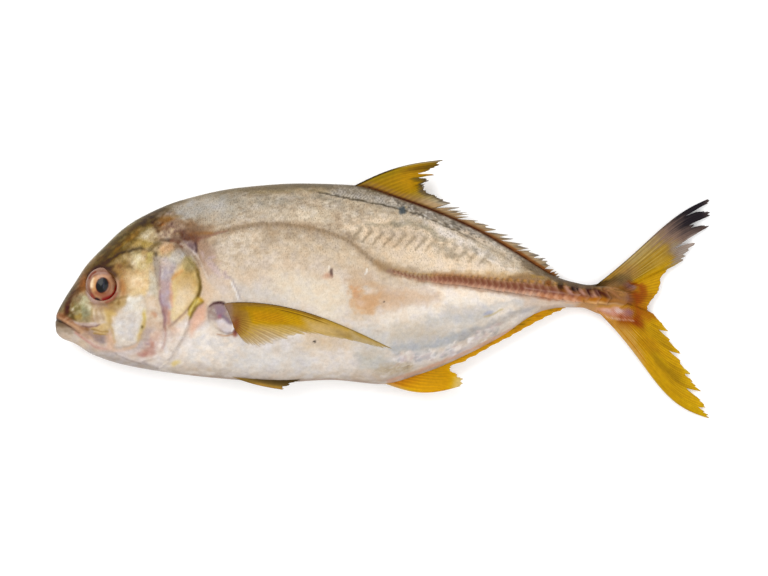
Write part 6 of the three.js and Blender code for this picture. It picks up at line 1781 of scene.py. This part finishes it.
def eye_finish():
    """A wet cornea, clear and very glossy, over the painted iris, made a little uneven by fine noise."""
    material, tree, shader = finish_of(
        "wet_cornea_over_iris", Roughness=0.3, Specular_IOR_Level=0.12, Coat_Weight=0.36,
        Coat_Roughness=0.08, Coat_IOR=CORNEA_IOR)
    paint = node(tree, "ShaderNodeAttribute", attribute_name="Paint").outputs["Color"]
    place = node(tree, "ShaderNodeTexCoord").outputs["Object"]
    threads = node(tree, "ShaderNodeTexNoise", {"Vector": place, "Scale": 1 / (1.2 * MM), "Detail": 4.0})
    uneven = node(tree, "ShaderNodeMapRange", {"Value": threads.outputs["Fac"], "From Min": 0.3,
                                               "From Max": 0.7, "To Min": 0.93, "To Max": 1.07})
    lit = node(tree, "ShaderNodeVectorMath", {0: paint, "Scale": uneven.outputs[0]}, operation="SCALE")
    tree.links.new(lit.outputs[0], shader.inputs["Base Color"])
    return material


def floor_finish():
    """Matt white paper sweep: bright, with no gloss."""
    material, tree, shader = finish_of("matt_white_paper", Roughness=0.9, Emission_Strength=0.08)
    place = node(tree, "ShaderNodeTexCoord").outputs["Object"]
    fibres = node(tree, "ShaderNodeTexNoise", {"Vector": place, "Scale": 3.0})
    white = node(tree, "ShaderNodeValToRGB", {"Fac": fibres.outputs["Fac"]},
                 stops=[(0.0, linear("#f9f9f9")), (1.0, linear("#fbfbfb"))])
    tree.links.new(white.outputs[0], shader.inputs["Base Color"])
    return material


# ---------- The keel of scutes ----------


SCUTE_ROWS, SCUTE_COLUMNS = 7, 11
SCUTE_DEPTH = 1.4  # times its height, by which its sides reach into the flesh


def one_scute():
    """A shield with a ridge down its middle and a spine at its rear, one unit long and high."""
    rows, columns = np.linspace(0, 1, SCUTE_ROWS), np.linspace(-1, 1, SCUTE_COLUMNS)
    share, wide = np.meshgrid(rows, columns, indexing="ij")
    inner = 1 - np.abs(wide)
    x = -0.25 + 1.15 * share + 0.4 * share * inner ** 1.3
    y = wide * (0.86 + 0.14 * share)
    z = (0.25 + 0.75 * share) * (0.35 * np.sqrt(np.clip(1 - wide ** 2, 0, 1)) + 0.65 * inner ** 1.4)
    top = np.stack([x, y, z], 2).reshape(-1, 3)
    rim = grid_rim(SCUTE_ROWS, SCUTE_COLUMNS)
    under = top[rim] * [1, 1, 0] - [0, 0, SCUTE_DEPTH]
    points = np.concatenate([top, under, [[0.4, 0, -SCUTE_DEPTH]]])
    skirt = len(top) + np.arange(len(rim))
    sides = np.stack([rim, np.roll(rim, -1), np.roll(skirt, -1), skirt], 1)
    floor = np.stack([np.roll(skirt, -1), np.full(len(rim), len(points) - 1), skirt], 1)
    outside = [grid_faces(SCUTE_ROWS, SCUTE_COLUMNS), sides, floor]
    faces = [face for part in outside for face in part[:, ::-1].tolist()]
    mesh = bpy.data.meshes.new("scute_form")
    mesh.from_pydata(points, [], faces)
    along = np.concatenate([share.ravel(), share.ravel()[rim], [0.5]])
    mesh.attributes.new("Along", "FLOAT", "POINT").data.foreach_set("value", along)
    mesh.polygons.foreach_set("use_smooth", np.ones(len(mesh.polygons), bool))
    mesh.update()
    return placed("scute_form", mesh)


def scute_seats():
    """One point for each scute on both flanks, with its size and how it is turned."""
    places, sizes, turns = [], [], []
    x = SCUTE_GAP[0][0]
    while x < SCUTE_GAP[-1][0]:
        gap, wide = stepped(SCUTE_GAP, x), stepped(SCUTE_HALF_WIDTH, x)
        y, ahead = float(lateral_line(x)), float(lateral_line(x + 1))
        rise = 0.08 + 0.4 * float(smooth(215, 300, x))
        for up in (1, -1):
            def seat(a, b):
                half = float(flank(a, b) + bones(a, b) * roundness_at(a, b))
                level = float(middle_plane(a)) + up * half
                return Vector((a, b, level if up > 0 else max(float(settled(level)), rise)))
            here = seat(x, y)
            forward = (seat(x + 1, ahead) - here).normalized()
            outward = forward.cross(seat(x, y + 1) - here).normalized() * up
            side = outward.cross(forward)
            basis = np.array([forward, side, outward]).T
            places.append((np.array(here) + TO_PART) * MM)
            sizes.append((gap * MM, wide * MM, rise * MM))
            turns.append(Matrix(basis.tolist()).to_euler("XYZ"))
        x += float(gap)
    mesh = bpy.data.meshes.new("scute_seats")
    mesh.from_pydata(places, [], [])
    for key, rows in {"Size": sizes, "Turn": turns}.items():
        mesh.attributes.new(key, "FLOAT_VECTOR", "POINT").data.foreach_set("vector", np.ravel(rows))
    return placed("scute_seats", mesh)


def scute_tree():
    """Sets a scute on every seat, a little unevenly, and joins them into one mesh."""
    tree = bpy.data.node_groups.new("scutes_along_the_keel", "GeometryNodeTree")
    tree.interface.new_socket("Geometry", in_out="INPUT", socket_type="NodeSocketGeometry")
    for name, kind in (("Scute", "NodeSocketObject"), ("Length", "NodeSocketFloat"),
                       ("Width", "NodeSocketFloat"), ("Rise", "NodeSocketFloat"),
                       ("Unevenness", "NodeSocketFloat"), ("Seed", "NodeSocketInt"),
                       ("Finish", "NodeSocketMaterial")):
        tree.interface.new_socket(name, in_out="INPUT", socket_type=kind)
    tree.interface.new_socket("Geometry", in_out="OUTPUT", socket_type="NodeSocketGeometry")
    given = node(tree, "NodeGroupInput").outputs
    size = node(tree, "GeometryNodeInputNamedAttribute", {"Name": "Size"}, data_type="FLOAT_VECTOR")
    turn = node(tree, "GeometryNodeInputNamedAttribute", {"Name": "Turn"}, data_type="FLOAT_VECTOR")
    low = node(tree, "ShaderNodeMath", {0: 1.0, 1: given["Unevenness"]}, operation="SUBTRACT")
    high = node(tree, "ShaderNodeMath", {0: 1.0, 1: given["Unevenness"]}, operation="ADD")
    uneven = node(tree, "FunctionNodeRandomValue", {2: low.outputs[0], 3: high.outputs[0],
                                                    "Seed": given["Seed"]}, data_type="FLOAT")
    shares = node(tree, "ShaderNodeCombineXYZ", {0: given["Length"], 1: given["Width"],
                                                 2: given["Rise"]})
    sized = node(tree, "ShaderNodeVectorMath", {0: size.outputs[0], 1: shares.outputs[0]},
                 operation="MULTIPLY")
    varied = node(tree, "ShaderNodeVectorMath", {0: sized.outputs[0], "Scale": uneven.outputs[1]},
                  operation="SCALE")
    form = node(tree, "GeometryNodeObjectInfo", {"Object": given["Scute"]})
    rotation = node(tree, "FunctionNodeEulerToRotation", {0: turn.outputs[0]})
    placed = node(tree, "GeometryNodeInstanceOnPoints", {
        "Points": given["Geometry"], "Instance": form.outputs["Geometry"],
        "Rotation": rotation.outputs[0], "Scale": varied.outputs[0]})
    joined = node(tree, "GeometryNodeRealizeInstances", {"Geometry": placed.outputs[0]})
    finished = node(tree, "GeometryNodeSetMaterial", {"Geometry": joined.outputs[0],
                                                      "Material": given["Finish"]})
    node(tree, "NodeGroupOutput", {0: finished.outputs[0]})
    return tree


def scutes(finish):
    """All the scutes as one plain painted mesh; the form and the seats are used up."""
    form, seats = one_scute(), scute_seats()
    tree = scute_tree()
    modifier = seats.modifiers.new("Scutes", "NODES")
    modifier.node_group = tree
    values = dict(Scute=form, Length=1.12, Width=1.0, Rise=1.0, Unevenness=0.06, Seed=3, Finish=finish)
    for socket in tree.interface.items_tree:
        if socket.in_out == "INPUT" and socket.name in values:
            modifier[socket.identifier] = values[socket.name]
    seats.update_tag()
    bpy.context.view_layer.update()
    ready = seats.evaluated_get(bpy.context.evaluated_depsgraph_get())
    mesh = bpy.data.meshes.new_from_object(ready)
    mesh.name = "scutes"
    drawn = np.zeros(len(mesh.vertices) * 3)
    mesh.vertices.foreach_get("co", drawn)
    drawn = drawn.reshape(-1, 3) / MM - TO_PART
    p = Coat(drawn[:, 0], drawn[:, 1], np.ones(len(drawn)), base_tones(drawn[:, 0], drawn[:, 1]))
    for layer in (paint_trunk, paint_keel, paint_tail_root):
        layer(p)
    colour_mesh(mesh, p.colour)
    made = placed("scutes", mesh)
    for spent in (seats, form):
        bpy.data.objects.remove(spent)
    return made


# ---------- Putting it together ----------

skin_coat, fin_coat, scute_coat, eye_coat = skin_finish(), fin_finish(), scute_finish(), eye_finish()

dressed = [
    (skin(), skin_coat, "skin", "fish"),
    (scutes(scute_coat), scute_coat, "scute", None),
    (eye("eye_left_ball", 1), eye_coat, "eye", "eye_left"),
    (eye("eye_right_ball", -1), eye_coat, "eye", "eye_right"),
]
tail_faces, dorsal_faces = median_faces(4.2, 0.8, 0), median_faces(3, 0.8, 3)
anal_faces = median_faces(3, 0.8, 2)
pelvic_left_faces = median_faces(2.4, 0.7, 0, PELVIC_OFF_MIDDLE)
pelvic_right_faces = median_faces(2.4, 0.7, 0, -PELVIC_OFF_MIDDLE)
# Each fin: its name, rays, tears, skew of the bow, faces, paint, columns, rows, fray, rib, seed.
FINS = [
    ("tail_fin", TAIL_RAYS, TAIL_TEARS, 2, tail_faces, paint_tail, 18, 44, 0.012, 0.12, 61),
    ("dorsal_fin", DORSAL_RAYS, DORSAL_TEARS, 1, dorsal_faces, paint_dorsal, 20, 26, 0.05, 0.1, 71),
    ("anal_fin", ANAL_RAYS, ANAL_TEARS, 1, anal_faces, paint_anal, 20, 24, 0.02, 0.1, 81),
    ("pectoral_fin_left", PECTORAL_RAYS, PECTORAL_TEARS, 0.8, pectoral_upper_faces,
     paint_pectoral, 26, 60, 0.02, 0.06, 91),
    ("pectoral_fin_right", PECTORAL_RAYS, PECTORAL_TEARS, 0.8, pectoral_lower_faces,
     paint_pectoral, 10, 40, 0.02, 0, 92),
    ("pelvic_fin_left", PELVIC_RAYS, PELVIC_TEARS, 1, pelvic_left_faces, paint_pelvic,
     20, 24, 0.03, 0.08, 95),
    ("pelvic_fin_right", PELVIC_RAYS, PELVIC_TEARS, 1, pelvic_right_faces, paint_pelvic,
     20, 24, 0.03, 0.08, 95),
]
dressed += [(fin(*row), fin_coat, "fin", None) for row in FINS]
for shown, coat, slot_name, stands_for in dressed:
    shown.data.materials.clear()
    shown.data.materials.append(coat)
    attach(shown, "root")
    if stands_for:
        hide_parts(stands_for)


# ---------- Studio ----------

CAMERA_HEIGHT = 3.0  # m over the fish's middle plane
FRAME_WIDTH = 468.48 * MM  # of the middle plane, from side to side of the view
FRAME_CENTRE = (-0.0003, 0.0008)  # m from the part's origin
FLOOR_REACH = 12  # m to each side
FLOOR_GAP = 0.0002  # m under the part, so that the two never share a face
WORLD_STRENGTH = 0.92


def floor():
    mesh = bpy.data.meshes.new("paper_floor")
    corners = [(-1, -1), (1, -1), (1, 1), (-1, 1)]
    mesh.from_pydata([(x * FLOOR_REACH, y * FLOOR_REACH, 0) for x, y in corners], [], [(0, 1, 2, 3)])
    mesh.materials.append(floor_finish())
    made = placed("paper_floor", mesh)
    made.location.z = -FLOOR_GAP
    return made


floor()


def soft_light(name, place, size, power):
    """A square lamp that looks at the part's origin; metres and watts."""
    data = bpy.data.lights.new(name, "AREA")
    data.size, data.energy = size, power
    lamp = placed(name, data)
    lamp.location = place
    lamp.rotation_euler = (-Vector(place)).to_track_quat("-Z", "Y").to_euler()
    lamp.visible_camera = False


soft_light("key", place=(-0.6, 0.75, 1.5), size=1.1, power=16)
soft_light("fill", place=(0.8, -0.4, 1.7), size=1.4, power=9)
world = bpy.data.worlds.new("pale_studio")
world.use_nodes = True
sky = world.node_tree.nodes["Background"].inputs
sky["Color"].default_value = (1, 1, 1, 1)
sky["Strength"].default_value = WORLD_STRENGTH
scene = bpy.context.scene
scene.world = world
scene.view_settings.view_transform = "Standard"

lens = bpy.data.cameras.new("camera")
lens.sensor_width = 36
lens.lens = lens.sensor_width * CAMERA_HEIGHT / FRAME_WIDTH
camera = placed("camera", lens)
camera.location = (*FRAME_CENTRE, CAMERA_HEIGHT + REST_HEIGHT * MM)
scene.camera = camera
